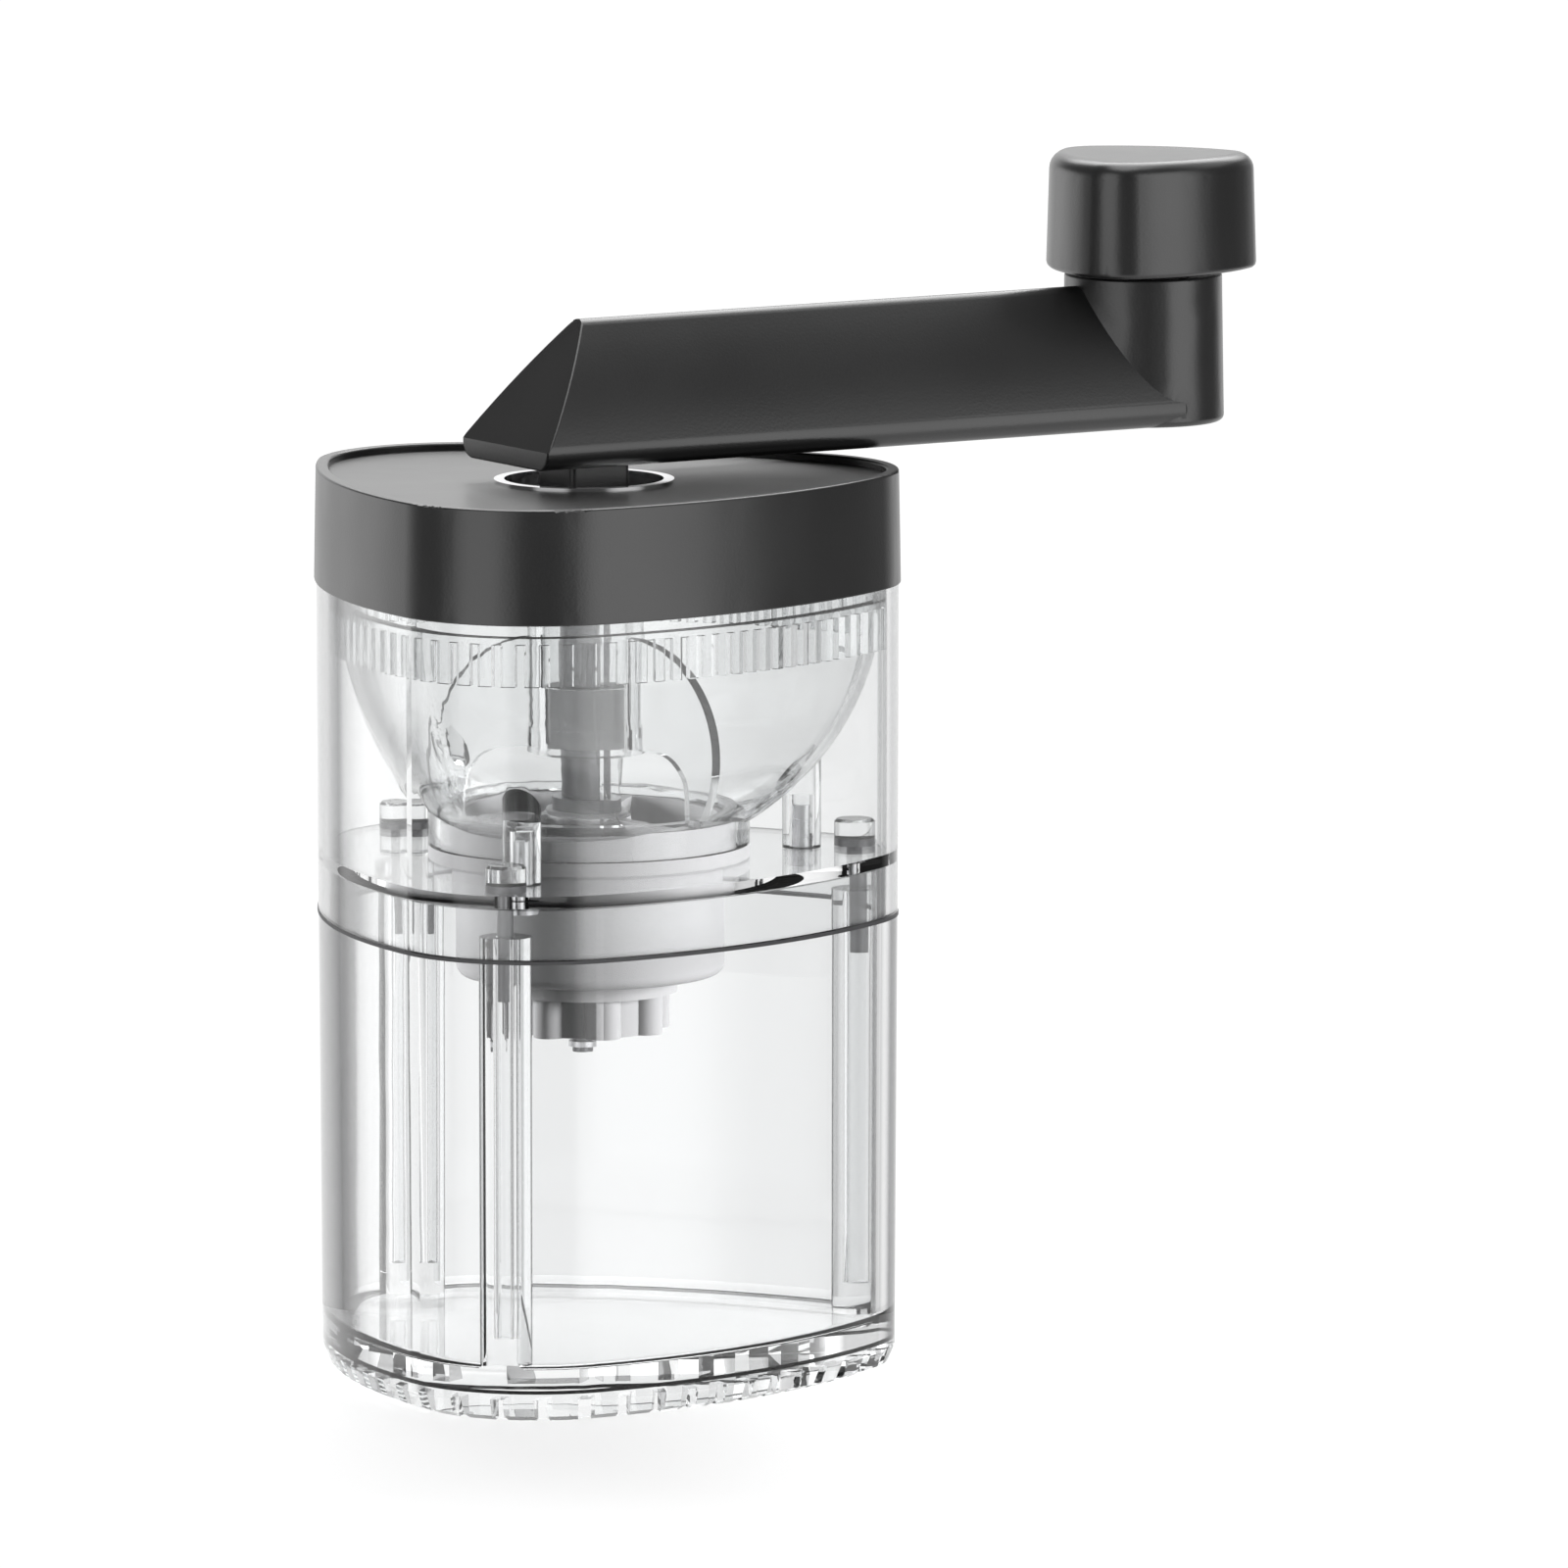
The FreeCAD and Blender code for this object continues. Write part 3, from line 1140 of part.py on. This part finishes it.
def biarc(start, start_way, end, end_way):
    # Two arcs that leave and arrive along the given directions and meet smoothly in the middle
    gap = end - start
    both = start_way + end_way
    twice = 2 * (1 - start_way.dot(end_way))
    reach = (-gap.dot(both) + math.sqrt(gap.dot(both) ** 2 + twice * gap.dot(gap))) / twice
    joint = (start + end + (start_way - end_way) * reach) * 0.5
    arcs = []
    for first, way, last in ((start, start_way, joint), (end, end_way * -1, joint)):
        chord = last - first
        normal = chord - way * chord.dot(way)
        radius = chord.dot(chord) / (2 * normal.Length)
        centre = first + normal.normalize() * radius
        middle = (first + last) * 0.5 - centre
        arcs.append((first, centre + middle.normalize() * radius, last))
    head, tail = arcs
    return [Part.Arc(*head).toShape(), Part.Arc(tail[2], tail[1], tail[0]).toShape()]


route = []
for half_turn in range(halves):
    spot = half_turn / 2
    route += biarc(coil_point(spot), coil_tangent(spot), coil_point(spot + 0.5), coil_tangent(spot + 0.5))
path = Part.Wire(route)
section = Part.Wire(Part.Circle(coil_point(0), coil_tangent(0), wire_radius).toShape())
tube = path.makePipeShell([section], True, False)
burr_spring.Shape = tube
burr_spring.Placement = FreeCAD.Placement(V(0, 0, 0), FreeCAD.Rotation(0, 0, 0))
samples = [coil_point(index / 60) for index in range(60 * halves // 2 + 1)]
self_gap = min(
    (samples[index] - samples[later]).Length - 2 * wire_radius
    for index in range(len(samples))
    for later in range(index + 30, len(samples))
)
print(f"burr_spring least gap to itself {self_gap:.2f} mm, {number('spring_turns'):.0f} turns")

NODES = [
    jar, foot_ring, jar_gasket, upper_shell, rib_ring, hopper_bowl, lid_seal, bearing_bridge, upper_bushing,
    burr_carrier, lower_bushing, outer_burr, inner_burr, burr_seat, adjusting_nut, shaft, spring_washer,
    burr_spring, end_clip, hopper_screws, locating_pins, lid, lid_ring, crank_arm, drive_socket, knob_axle,
    knob_washer, knob,
]

doc.recompute()
for item in doc.Objects:
    if "Invalid" in item.State or "Error" in item.State:
        raise RuntimeError(f"{item.Label} did not build: {item.State}")
    if item.TypeId in ("PartDesign::Pocket", "PartDesign::Groove", "PartDesign::SubtractiveLoft"):
        if not 0.001 < item.Shape.Volume < item.BaseFeature.Shape.Volume - 0.001:
            raise RuntimeError(f"{item.Label} cuts nothing")
os.makedirs("parts", exist_ok=True)
for node in NODES:
    if node.Shape.isNull() or not node.Shape.isValid() or not node.Shape.Solids:
        raise RuntimeError(f"{node.Label} has no valid shape")
    node.Shape.exportStep(f"parts/{node.Label}.step")
    box = node.Shape.BoundBox
    print(f"{node.Label}: {len(node.Shape.Solids)} solid, {node.Shape.Volume:.1f} mm3,"
          f" z {box.ZMin:.2f} to {box.ZMax:.2f}")
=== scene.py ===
import bpy
import bmesh
import math
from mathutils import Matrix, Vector


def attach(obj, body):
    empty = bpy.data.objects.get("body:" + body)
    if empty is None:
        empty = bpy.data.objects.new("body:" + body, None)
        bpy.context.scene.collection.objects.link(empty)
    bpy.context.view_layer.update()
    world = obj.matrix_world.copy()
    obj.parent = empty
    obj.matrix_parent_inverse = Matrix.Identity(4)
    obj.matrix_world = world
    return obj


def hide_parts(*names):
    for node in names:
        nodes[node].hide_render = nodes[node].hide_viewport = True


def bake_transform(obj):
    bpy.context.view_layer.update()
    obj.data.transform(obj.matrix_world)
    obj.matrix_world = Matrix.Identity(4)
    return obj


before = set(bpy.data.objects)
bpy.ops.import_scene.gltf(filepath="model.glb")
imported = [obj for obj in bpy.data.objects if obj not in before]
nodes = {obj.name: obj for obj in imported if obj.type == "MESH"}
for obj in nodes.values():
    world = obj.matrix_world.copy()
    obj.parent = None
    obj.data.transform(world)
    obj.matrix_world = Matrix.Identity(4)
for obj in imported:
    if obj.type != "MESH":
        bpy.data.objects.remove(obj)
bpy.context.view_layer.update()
scene = bpy.context.scene
print("frame loaded:", len(nodes), "nodes")

# camera, fitted to the photograph's outlines; long lens, a little above the lid
cameraSetup = {
    "place": (-0.57626, -2.34337, 0.42110),
    "look": (0.24837, 0.95899, -0.13657),
    "lens": 376.02,
    "sensor": 36.0,
    "farEnd": 60,
}


def makeCamera():
    data = bpy.data.cameras.new("camera")
    data.lens = cameraSetup["lens"]
    data.sensor_width = cameraSetup["sensor"]
    data.clip_end = cameraSetup["farEnd"]
    camera = bpy.data.objects.new("camera", data)
    camera.location = cameraSetup["place"]
    camera.rotation_euler = Vector(cameraSetup["look"]).to_track_quat("-Z", "Y").to_euler()
    scene.collection.objects.link(camera)
    scene.camera = camera


makeCamera()

# studio air: a pale surround with soft panels that the satin and clear plastic mirror;
# azimuths in degrees, measured in the frame's own XY plane
studio = {
    "base": 0.14,
    "below": 0.85,
    "overhead": 2.8,
    # sine of the elevation at which each of these two begins and is full
    "belowEdge": (-0.20, -0.34),
    "overheadEdge": (0.87, 0.95),
    # how softly a panel's lower and upper edges fade, as the same sine
    "lowSoftness": 0.05,
    "highSoftness": 0.08,
    "backdrop": 1.06,  # what shows behind the object from any side
    "throughClear": 0.72,  # the same, seen through the clear walls
    "panels": [
        # azimuth, half width, soft edge, lowest and highest elevation, strength
        {"azimuth": 70, "half": 37, "soft": 26, "low": -30, "high": 18, "strength": 1.05},
        {"azimuth": 72, "half": 32, "soft": 20, "low": 24, "high": 76, "strength": 4.4},
        {"azimuth": 40, "half": 40, "soft": 60, "low": 30, "high": 76, "strength": 1.0},
        {"azimuth": -48, "half": 16.5, "soft": 33, "low": -24, "high": 36, "strength": 1.85},
        {"azimuth": -147, "half": 22, "soft": 12, "low": -30, "high": 40, "strength": 1.45},
        {"azimuth": 126, "half": 18, "soft": 12, "low": -30, "high": 10, "strength": 1.4},
    ],
    "floorRadius": 0.11,
    "floorSides": 128,
    "floorCentre": (-0.0095, -0.039, -0.0002),  # its far edge lies just behind the foot
    "floorColour": (0.93, 0.93, 0.93),
    "floorRoughness": 0.9,
    "bounces": 24,  # enough for light to cross every clear wall
    # soft boxes for the dark works alone, which the clear walls would otherwise leave in shade
    "worksParts": ["burr_carrier", "burr_seat", "adjusting_nut"],
    "worksLights": [
        {"name": "rightBox", "azimuth": -30, "height": 0.2, "away": 0.9, "size": 0.34, "power": 118.0},
        {"name": "leftBox", "azimuth": 150, "height": 0.2, "away": 0.9, "size": 0.30, "power": 105.0},
        {"name": "backBox", "azimuth": 66, "height": 0.1, "away": 0.9, "size": 0.30, "power": 55.0},
    ],
}


def deselectAll():
    for item in bpy.context.selected_objects:
        item.select_set(False)


def airMath(tree, operation, first, second):
    node = tree.nodes.new("ShaderNodeMath")
    node.operation = operation
    for socket, value in zip(node.inputs, (first, second)):
        if isinstance(value, (int, float)):
            socket.default_value = value
        else:
            tree.links.new(value, socket)
    return node.outputs[0]


def airRamp(tree, value, start, end):
    # 0 at start, 1 at end, smooth between
    node = tree.nodes.new("ShaderNodeMapRange")
    node.interpolation_type = "SMOOTHSTEP"
    tree.links.new(value, node.inputs["Value"])
    node.inputs["From Min"].default_value = start
    node.inputs["From Max"].default_value = end
    return node.outputs["Result"]


def makeAir():
    world = bpy.data.worlds.new("studioAir")
    world.use_nodes = True
    tree = world.node_tree
    place = tree.nodes.new("ShaderNodeTexCoord")
    split = tree.nodes.new("ShaderNodeSeparateXYZ")
    flat = tree.nodes.new("ShaderNodeCombineXYZ")
    level = tree.nodes.new("ShaderNodeVectorMath")
    level.operation = "NORMALIZE"
    tree.links.new(place.outputs["Generated"], split.inputs[0])
    tree.links.new(split.outputs["X"], flat.inputs["X"])
    tree.links.new(split.outputs["Y"], flat.inputs["Y"])
    tree.links.new(flat.outputs[0], level.inputs[0])
    height = split.outputs["Z"]
    total = studio["base"]
    for panel in studio["panels"]:
        aim = tree.nodes.new("ShaderNodeVectorMath")
        aim.operation = "DOT_PRODUCT"
        turn = math.radians(panel["azimuth"])
        aim.inputs[1].default_value = (math.cos(turn), math.sin(turn), 0)
        tree.links.new(level.outputs[0], aim.inputs[0])
        inner = math.cos(math.radians(panel["half"] - panel["soft"] / 2))
        outer = math.cos(math.radians(panel["half"] + panel["soft"] / 2))
        wide = airRamp(tree, aim.outputs["Value"], outer, inner)
        low = math.sin(math.radians(panel["low"]))
        high = math.sin(math.radians(panel["high"]))
        above = airRamp(tree, height, low - studio["lowSoftness"], low + studio["lowSoftness"])
        under = airRamp(tree, height, high + studio["highSoftness"], high - studio["highSoftness"])
        shape = airMath(tree, "MULTIPLY", wide, airMath(tree, "MULTIPLY", above, under))
        total = airMath(tree, "MAXIMUM", total, airMath(tree, "MULTIPLY", shape, panel["strength"]))
    beneath = airMath(tree, "MULTIPLY", airRamp(tree, height, *studio["belowEdge"]), studio["below"])
    total = airMath(tree, "MAXIMUM", total, beneath)
    overhead = airMath(tree, "MULTIPLY", airRamp(tree, height, *studio["overheadEdge"]), studio["overhead"])
    total = airMath(tree, "MAXIMUM", total, overhead)
    path = tree.nodes.new("ShaderNodeLightPath")
    behind = airMath(tree, "MULTIPLY", path.outputs["Is Camera Ray"], studio["backdrop"])
    through = airMath(tree, "MULTIPLY", path.outputs["Is Transmission Ray"], studio["throughClear"])
    total = airMath(tree, "MAXIMUM", total, airMath(tree, "MAXIMUM", behind, through))
    air = tree.nodes["Background"]
    air.inputs["Color"].default_value = (1, 1, 1, 1)
    tree.links.new(total, air.inputs["Strength"])
    scene.world = world


def makeFloor():
    deselectAll()
    bpy.ops.mesh.primitive_circle_add(vertices=studio["floorSides"], radius=studio["floorRadius"],
                                      fill_type="NGON", location=studio["floorCentre"])
    floor = bpy.context.object
    floor.name = "studioFloor"
    paint = bpy.data.materials.new("floorPaper")
    paint.use_nodes = True
    shader = paint.node_tree.nodes["Principled BSDF"]
    shader.inputs["Base Color"].default_value = (*studio["floorColour"], 1)
    shader.inputs["Roughness"].default_value = studio["floorRoughness"]
    floor.data.materials.append(paint)


def makeWorksLights():
    works = bpy.data.collections.new("works")
    for name in studio["worksParts"]:
        works.objects.link(nodes[name])
    for row in studio["worksLights"]:
        lamp = bpy.data.lights.new(row["name"], "AREA")
        lamp.shape = "DISK"
        lamp.size = row["size"]
        lamp.energy = row["power"]
        box = bpy.data.objects.new(row["name"], lamp)
        turn = math.radians(row["azimuth"])
        toward = Vector((math.cos(turn), math.sin(turn), 0))
        box.location = toward * row["away"] + Vector((0, 0, row["height"]))
        box.rotation_euler = (-toward).to_track_quat("-Z", "Y").to_euler()
        box.visible_glossy = False
        box.light_linking.receiver_collection = works
        scene.collection.objects.link(box)


def makeStudio():
    makeAir()
    makeFloor()
    makeWorksLights()
    scene.view_settings.view_transform = "Standard"
    scene.cycles.max_bounces = studio["bounces"]
    scene.cycles.transmission_bounces = studio["bounces"]
    scene.cycles.transparent_max_bounces = studio["bounces"]


makeStudio()
print("camera and studio set")


# shared effects, as node groups
def newGroup(name, inputs, outputs):
    group = bpy.data.node_groups.new(name, "ShaderNodeTree")
    for label, value in inputs:
        socket = group.interface.new_socket(label, in_out="INPUT", socket_type="NodeSocketFloat")
        socket.default_value = value
    for label in outputs:
        group.interface.new_socket(label, in_out="OUTPUT", socket_type="NodeSocketFloat")
    start = group.nodes.new("NodeGroupInput")
    end = group.nodes.new("NodeGroupOutput")
    return group, start, end


def addNode(tree, kind, **settings):
    node = tree.nodes.new(kind)
    for key, value in settings.items():
        setattr(node, key, value)
    return node


grainLook = {
    "inputs": [("Grain Scale", 2600.0), ("Drift Scale", 26.0), ("Gloss Low", 0.36), ("Gloss High", 0.5)],
    "outputs": ["Roughness", "Height", "Drift"],
    "fineDetail": 2.0,
    "slowDetail": 3.0,
    "driftFrom": 0.3,  # the noise rarely leaves this range
    "driftTo": 0.7,
}


def makeSatinGrain():
    # fine spark-eroded mould texture with slow drifts of gloss
    group, start, end = newGroup("satinGrain", grainLook["inputs"], grainLook["outputs"])
    link = group.links.new
    place = addNode(group, "ShaderNodeTexCoord")
    fine = addNode(group, "ShaderNodeTexNoise")
    fine.inputs["Detail"].default_value = grainLook["fineDetail"]
    slow = addNode(group, "ShaderNodeTexNoise")
    slow.inputs["Detail"].default_value = grainLook["slowDetail"]
    gloss = addNode(group, "ShaderNodeMapRange")
    gloss.inputs["From Min"].default_value = grainLook["driftFrom"]
    gloss.inputs["From Max"].default_value = grainLook["driftTo"]
    link(place.outputs["Object"], fine.inputs["Vector"])
    link(place.outputs["Object"], slow.inputs["Vector"])
    link(start.outputs["Grain Scale"], fine.inputs["Scale"])
    link(start.outputs["Drift Scale"], slow.inputs["Scale"])
    link(slow.outputs["Fac"], gloss.inputs["Value"])
    link(start.outputs["Gloss Low"], gloss.inputs["To Min"])
    link(start.outputs["Gloss High"], gloss.inputs["To Max"])
    link(gloss.outputs["Result"], end.inputs["Roughness"])
    link(fine.outputs["Fac"], end.inputs["Height"])
    link(slow.outputs["Fac"], end.inputs["Drift"])
    return group


satinGrain = makeSatinGrain()


def newMaterial(name):
    material = bpy.data.materials.new(name)
    material.use_nodes = True
    tree = material.node_tree
    return material, tree, tree.nodes["Principled BSDF"]


def useGroup(tree, group, **values):
    node = addNode(tree, "ShaderNodeGroup", node_tree=group)
    for label, value in values.items():
        node.inputs[label.replace("_", " ")].default_value = value
    return node


def addRelief(tree, shader, height, strength, depth):
    relief = addNode(tree, "ShaderNodeBump")
    relief.inputs["Strength"].default_value = strength
    relief.inputs["Distance"].default_value = depth
    tree.links.new(height, relief.inputs["Height"])
    tree.links.new(relief.outputs["Normal"], shader.inputs["Normal"])


grainDepth = 0.0001  # metres


def satinPlastic(name, colour, lighter, gloss, grainScale, bump, ior=1.5):
    # moulded plastic with a satin tool finish
    material, tree, shader = newMaterial(name)
    grain = useGroup(tree, satinGrain, Grain_Scale=grainScale, Gloss_Low=gloss[0], Gloss_High=gloss[1])
    blend = addNode(tree, "ShaderNodeMix", data_type="RGBA")
    blend.inputs[6].default_value = (*colour, 1)
    blend.inputs[7].default_value = (*lighter, 1)
    tree.links.new(grain.outputs["Drift"], blend.inputs[0])
    tree.links.new(blend.outputs[2], shader.inputs["Base Color"])
    tree.links.new(grain.outputs["Roughness"], shader.inputs["Roughness"])
    addRelief(tree, shader, grain.outputs["Height"], bump, grainDepth)
    shader.inputs["IOR"].default_value = ior
    return material


clearLook = {
    "facing": 0.5,
    "edgeShadeStart": 0.59,  # painted shade: a wall seen along its length turns dark, in place of the dark surroundings it would refract
    "edgeShadeEnd": 0.72,
    "levelFace": 0.75,  # but not a level face: upright part of the normal, from here
    "uprightFace": 0.35,  # down to here
    "bending": 1.46,
    "waveScale": 45.0,
    "waveDrift": 18.0,
    "waveStrength": 0.02,
    "waveDepth": 0.001,
}


def clearPlasticMaterial(name, facingColour, paintedEdgeShade):
    # water-clear moulded plastic with faint waviness; light reaches what is inside through it; its colour is
    # darkened by painted shade where an upright wall is seen edge-on
    material, tree, shader = newMaterial(name)
    edge = addNode(tree, "ShaderNodeLayerWeight")
    edge.inputs["Blend"].default_value = clearLook["facing"]
    band = addNode(tree, "ShaderNodeMapRange", interpolation_type="SMOOTHSTEP")
    band.inputs["From Min"].default_value = clearLook["edgeShadeStart"]
    band.inputs["From Max"].default_value = clearLook["edgeShadeEnd"]
    tint = addNode(tree, "ShaderNodeMix", data_type="RGBA")
    tint.inputs[6].default_value = (*facingColour, 1)
    tint.inputs[7].default_value = (*paintedEdgeShade, 1)
    face = addNode(tree, "ShaderNodeNewGeometry")
    split = addNode(tree, "ShaderNodeSeparateXYZ")
    level = addNode(tree, "ShaderNodeMath", operation="ABSOLUTE")
    wall = addNode(tree, "ShaderNodeMapRange", interpolation_type="SMOOTHSTEP")
    wall.inputs["From Min"].default_value = clearLook["levelFace"]
    wall.inputs["From Max"].default_value = clearLook["uprightFace"]
    both = addNode(tree, "ShaderNodeMath", operation="MULTIPLY")
    tree.links.new(face.outputs["Normal"], split.inputs[0])
    tree.links.new(split.outputs["Z"], level.inputs[0])
    tree.links.new(level.outputs[0], wall.inputs["Value"])
    tree.links.new(edge.outputs["Facing"], band.inputs["Value"])
    tree.links.new(band.outputs["Result"], both.inputs[0])
    tree.links.new(wall.outputs["Result"], both.inputs[1])
    tree.links.new(both.outputs[0], tint.inputs[0])
    tree.links.new(tint.outputs[2], shader.inputs["Base Color"])
    shader.inputs["Transmission Weight"].default_value = 1.0
    shader.inputs["Roughness"].default_value = 0.0
    shader.inputs["IOR"].default_value = clearLook["bending"]
    grain = useGroup(tree, satinGrain, Grain_Scale=clearLook["waveScale"], Drift_Scale=clearLook["waveDrift"])
    addRelief(tree, shader, grain.outputs["Height"], clearLook["waveStrength"], clearLook["waveDepth"])
    path = addNode(tree, "ShaderNodeLightPath")
    clear = addNode(tree, "ShaderNodeBsdfTransparent")
    clear.inputs["Color"].default_value = (1, 1, 1, 1)
    mix = addNode(tree, "ShaderNodeMixShader")
    tree.links.new(path.outputs["Is Shadow Ray"], mix.inputs[0])
    tree.links.new(shader.outputs["BSDF"], mix.inputs[1])
    tree.links.new(clear.outputs["BSDF"], mix.inputs[2])
    tree.links.new(mix.outputs["Shader"], tree.nodes["Material Output"].inputs["Surface"])
    return material


metalGrain = {"grainScale": 900.0, "driftScale": 60.0}


def metal(name, colour, gloss):
    material, tree, shader = newMaterial(name)
    shader.inputs["Metallic"].default_value = 1.0
    shader.inputs["Base Color"].default_value = (*colour, 1)
    grain = useGroup(tree, satinGrain, Grain_Scale=metalGrain["grainScale"],
                     Drift_Scale=metalGrain["driftScale"], Gloss_Low=gloss[0], Gloss_High=gloss[1])
    tree.links.new(grain.outputs["Roughness"], shader.inputs["Roughness"])
    return material


# a satin plastic's values: colour, lighter colour, gloss range, grain scale, relief, refraction
finishes = {
    # clear plastics: tint for walls facing the eye, then the painted edge shade for upright walls seen
    # edge-on
    "clear": clearPlasticMaterial("clearPlastic", (0.945, 0.95, 0.951), (0.34, 0.345, 0.35)),
    "clearThick": clearPlasticMaterial("clearThickPlastic", (0.915, 0.92, 0.922), (0.045, 0.046, 0.048)),
    "black": satinPlastic("blackPlastic", (0.009, 0.009, 0.0092), (0.012, 0.012, 0.0122),
                          (0.27, 0.34), 2600.0, 0.15, 1.7),
    "charcoal": satinPlastic("charcoalPlastic", (0.054, 0.054, 0.055), (0.066, 0.066, 0.067),
                             (0.36, 0.46), 1800.0, 0.2, 1.35),
    "pale": satinPlastic("paleBushing", (0.26, 0.26, 0.265), (0.31, 0.31, 0.315),
                         (0.36, 0.46), 1800.0, 0.15),
    "turned": metal("greySteel", (0.17, 0.17, 0.175), (0.3, 0.42)),
    "steel": metal("turnedSteel", (0.62, 0.62, 0.63), (0.22, 0.34)),
    "bright": metal("polishedSteel", (0.86, 0.86, 0.87), (0.05, 0.12)),
    "ceramic": satinPlastic("firedCeramic", (0.82, 0.81, 0.77), (0.88, 0.87, 0.84),
                            (0.22, 0.34), 1400.0, 0.15),
    "seal": satinPlastic("darkSilicone", (0.05, 0.05, 0.053), (0.07, 0.07, 0.073),
                         (0.5, 0.62), 1800.0, 0.3),
    "washer": satinPlastic("palePlastic", (0.55, 0.55, 0.56), (0.62, 0.62, 0.63),
                           (0.3, 0.4), 1800.0, 0.1),
}
finishOf = {
    "clear": ["foot_ring", "upper_shell", "rib_ring", "hopper_bowl", "bearing_bridge"],
    "clearThick": ["jar"],
    "black": ["lid", "crank_arm", "drive_socket", "knob"],
    "charcoal": ["burr_carrier", "burr_seat", "adjusting_nut"],
    "pale": ["upper_bushing", "lower_bushing"],
    "turned": ["shaft"],
    "steel": ["hopper_screws", "locating_pins", "spring_washer", "burr_spring", "end_clip", "knob_axle"],
    "bright": ["lid_ring"],
    "ceramic": ["outer_burr", "inner_burr"],
    "seal": ["jar_gasket", "lid_seal"],
    "washer": ["knob_washer"],
}


def giveFinish(piece, finish):
    piece.data.materials.clear()
    piece.data.materials.append(finishes[finish])


for finish, names in finishOf.items():
    for name in names:
        giveFinish(nodes[name], finish)
print("finishes given to the CAD nodes")


joinDistance = 0.00001  # metres
pieceShade = 40  # degrees: edges sharper than this stay crisp


def joinedCopy(nodeName, pieceName, flatness):
    # a CAD node's shape as a piece of its own: its loose triangles are joined and flat ones become one face
    deselectAll()
    mesh = nodes[nodeName].data.copy()
    mesh.name = pieceName
    piece = bpy.data.objects.new(pieceName, mesh)
    scene.collection.objects.link(piece)
    bpy.context.view_layer.objects.active = piece
    piece.select_set(True)
    bpy.ops.mesh.customdata_custom_splitnormals_clear()
    bpy.ops.object.mode_set(mode="EDIT")
    bpy.ops.mesh.select_all(action="SELECT")
    bpy.ops.mesh.remove_doubles(threshold=joinDistance)
    bpy.ops.mesh.dissolve_limited(angle_limit=math.radians(flatness))
    bpy.ops.object.mode_set(mode="OBJECT")
    return piece


def markOuterEdges(piece, sharpness):
    # outer corners sharper than this are rounded; inner corners stay as the mould leaves them
    work = bmesh.new()
    work.from_mesh(piece.data)
    weight = work.edges.layers.float.new("bevel_weight_edge")
    for edge in work.edges:
        if len(edge.link_faces) == 2 and edge.is_convex and edge.calc_face_angle() > math.radians(sharpness):
            edge[weight] = 1.0
    work.to_mesh(piece.data)
    work.free()


def softenEdges(piece, width):
    markOuterEdges(piece, mouldings["sharpness"])
    bevel = piece.modifiers.new("softEdge", "BEVEL")
    bevel.limit_method = "WEIGHT"
    bevel.width = width
    bevel.segments = mouldings["segments"]
    bevel.use_clamp_overlap = False
    bpy.ops.object.modifier_apply(modifier="softEdge")
    bpy.ops.object.shade_smooth_by_angle(angle=math.radians(mouldings["shade"]))
    even = piece.modifiers.new("evenShade", "WEIGHTED_NORMAL")
    even.keep_sharp = True
    bpy.ops.object.modifier_apply(modifier="evenShade")


# the black mouldings, with the small rounds of a mould on their edges
mouldings = {
    "sharpness": 62,
    "segments": 3,
    "shade": 24,
    "pieces": [
        {"node": "lid", "flatness": 0.5, "name": "lidMoulding", "body": "lid", "round": 0.00022},
        {"node": "crank_arm", "flatness": 0.02, "name": "armMoulding", "body": "crank", "round": 0.0003},
        {"node": "drive_socket", "flatness": 0.5, "name": "hubMoulding", "body": "crank", "round": 0.0002},
        {"node": "knob", "flatness": 0.5, "name": "knobMoulding", "body": "knob", "round": 0.0003},
    ],
}
for row in mouldings["pieces"]:
    piece = joinedCopy(row["node"], row["name"], row["flatness"])
    softenEdges(piece, row["round"])
    giveFinish(piece, "black")
    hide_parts(row["node"])
    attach(piece, row["body"])
print("black mouldings made:", len(mouldings["pieces"]))

# the locating pins: clear caps on steel stems
pins = {
    "seam": 0.0791,  # height where cap and stem meet
    "flatness": 0.5,
    "parts": [
        {"name": "pinCaps", "keepUpper": True, "finish": "clear", "slot": "clear_plastic"},
        {"name": "pinStems", "keepUpper": False, "finish": "turned", "slot": "steel"},
    ],
}
for row in pins["parts"]:
    piece = joinedCopy("locating_pins", row["name"], pins["flatness"])
    bpy.ops.object.mode_set(mode="EDIT")
    bpy.ops.mesh.select_all(action="SELECT")
    bpy.ops.mesh.bisect(plane_co=(0, 0, pins["seam"]), plane_no=(0, 0, 1), use_fill=True,
                        clear_inner=row["keepUpper"], clear_outer=not row["keepUpper"])
    bpy.ops.object.mode_set(mode="OBJECT")
    bpy.ops.object.shade_smooth_by_angle(angle=math.radians(pieceShade))
    giveFinish(piece, row["finish"])
    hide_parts("locating_pins")
    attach(piece, "housing")
print("locating pins made")

# the burr spring, which runs from the spindle down to the burr, as a steel piece of its own with its placing
# baked into the mesh
springFlatness = 0.02
spring = joinedCopy("burr_spring", "springCoil", springFlatness)
bpy.ops.object.shade_smooth_by_angle(angle=math.radians(pieceShade))
giveFinish(spring, "steel")
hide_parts("burr_spring")
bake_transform(spring)
print("burr spring made")
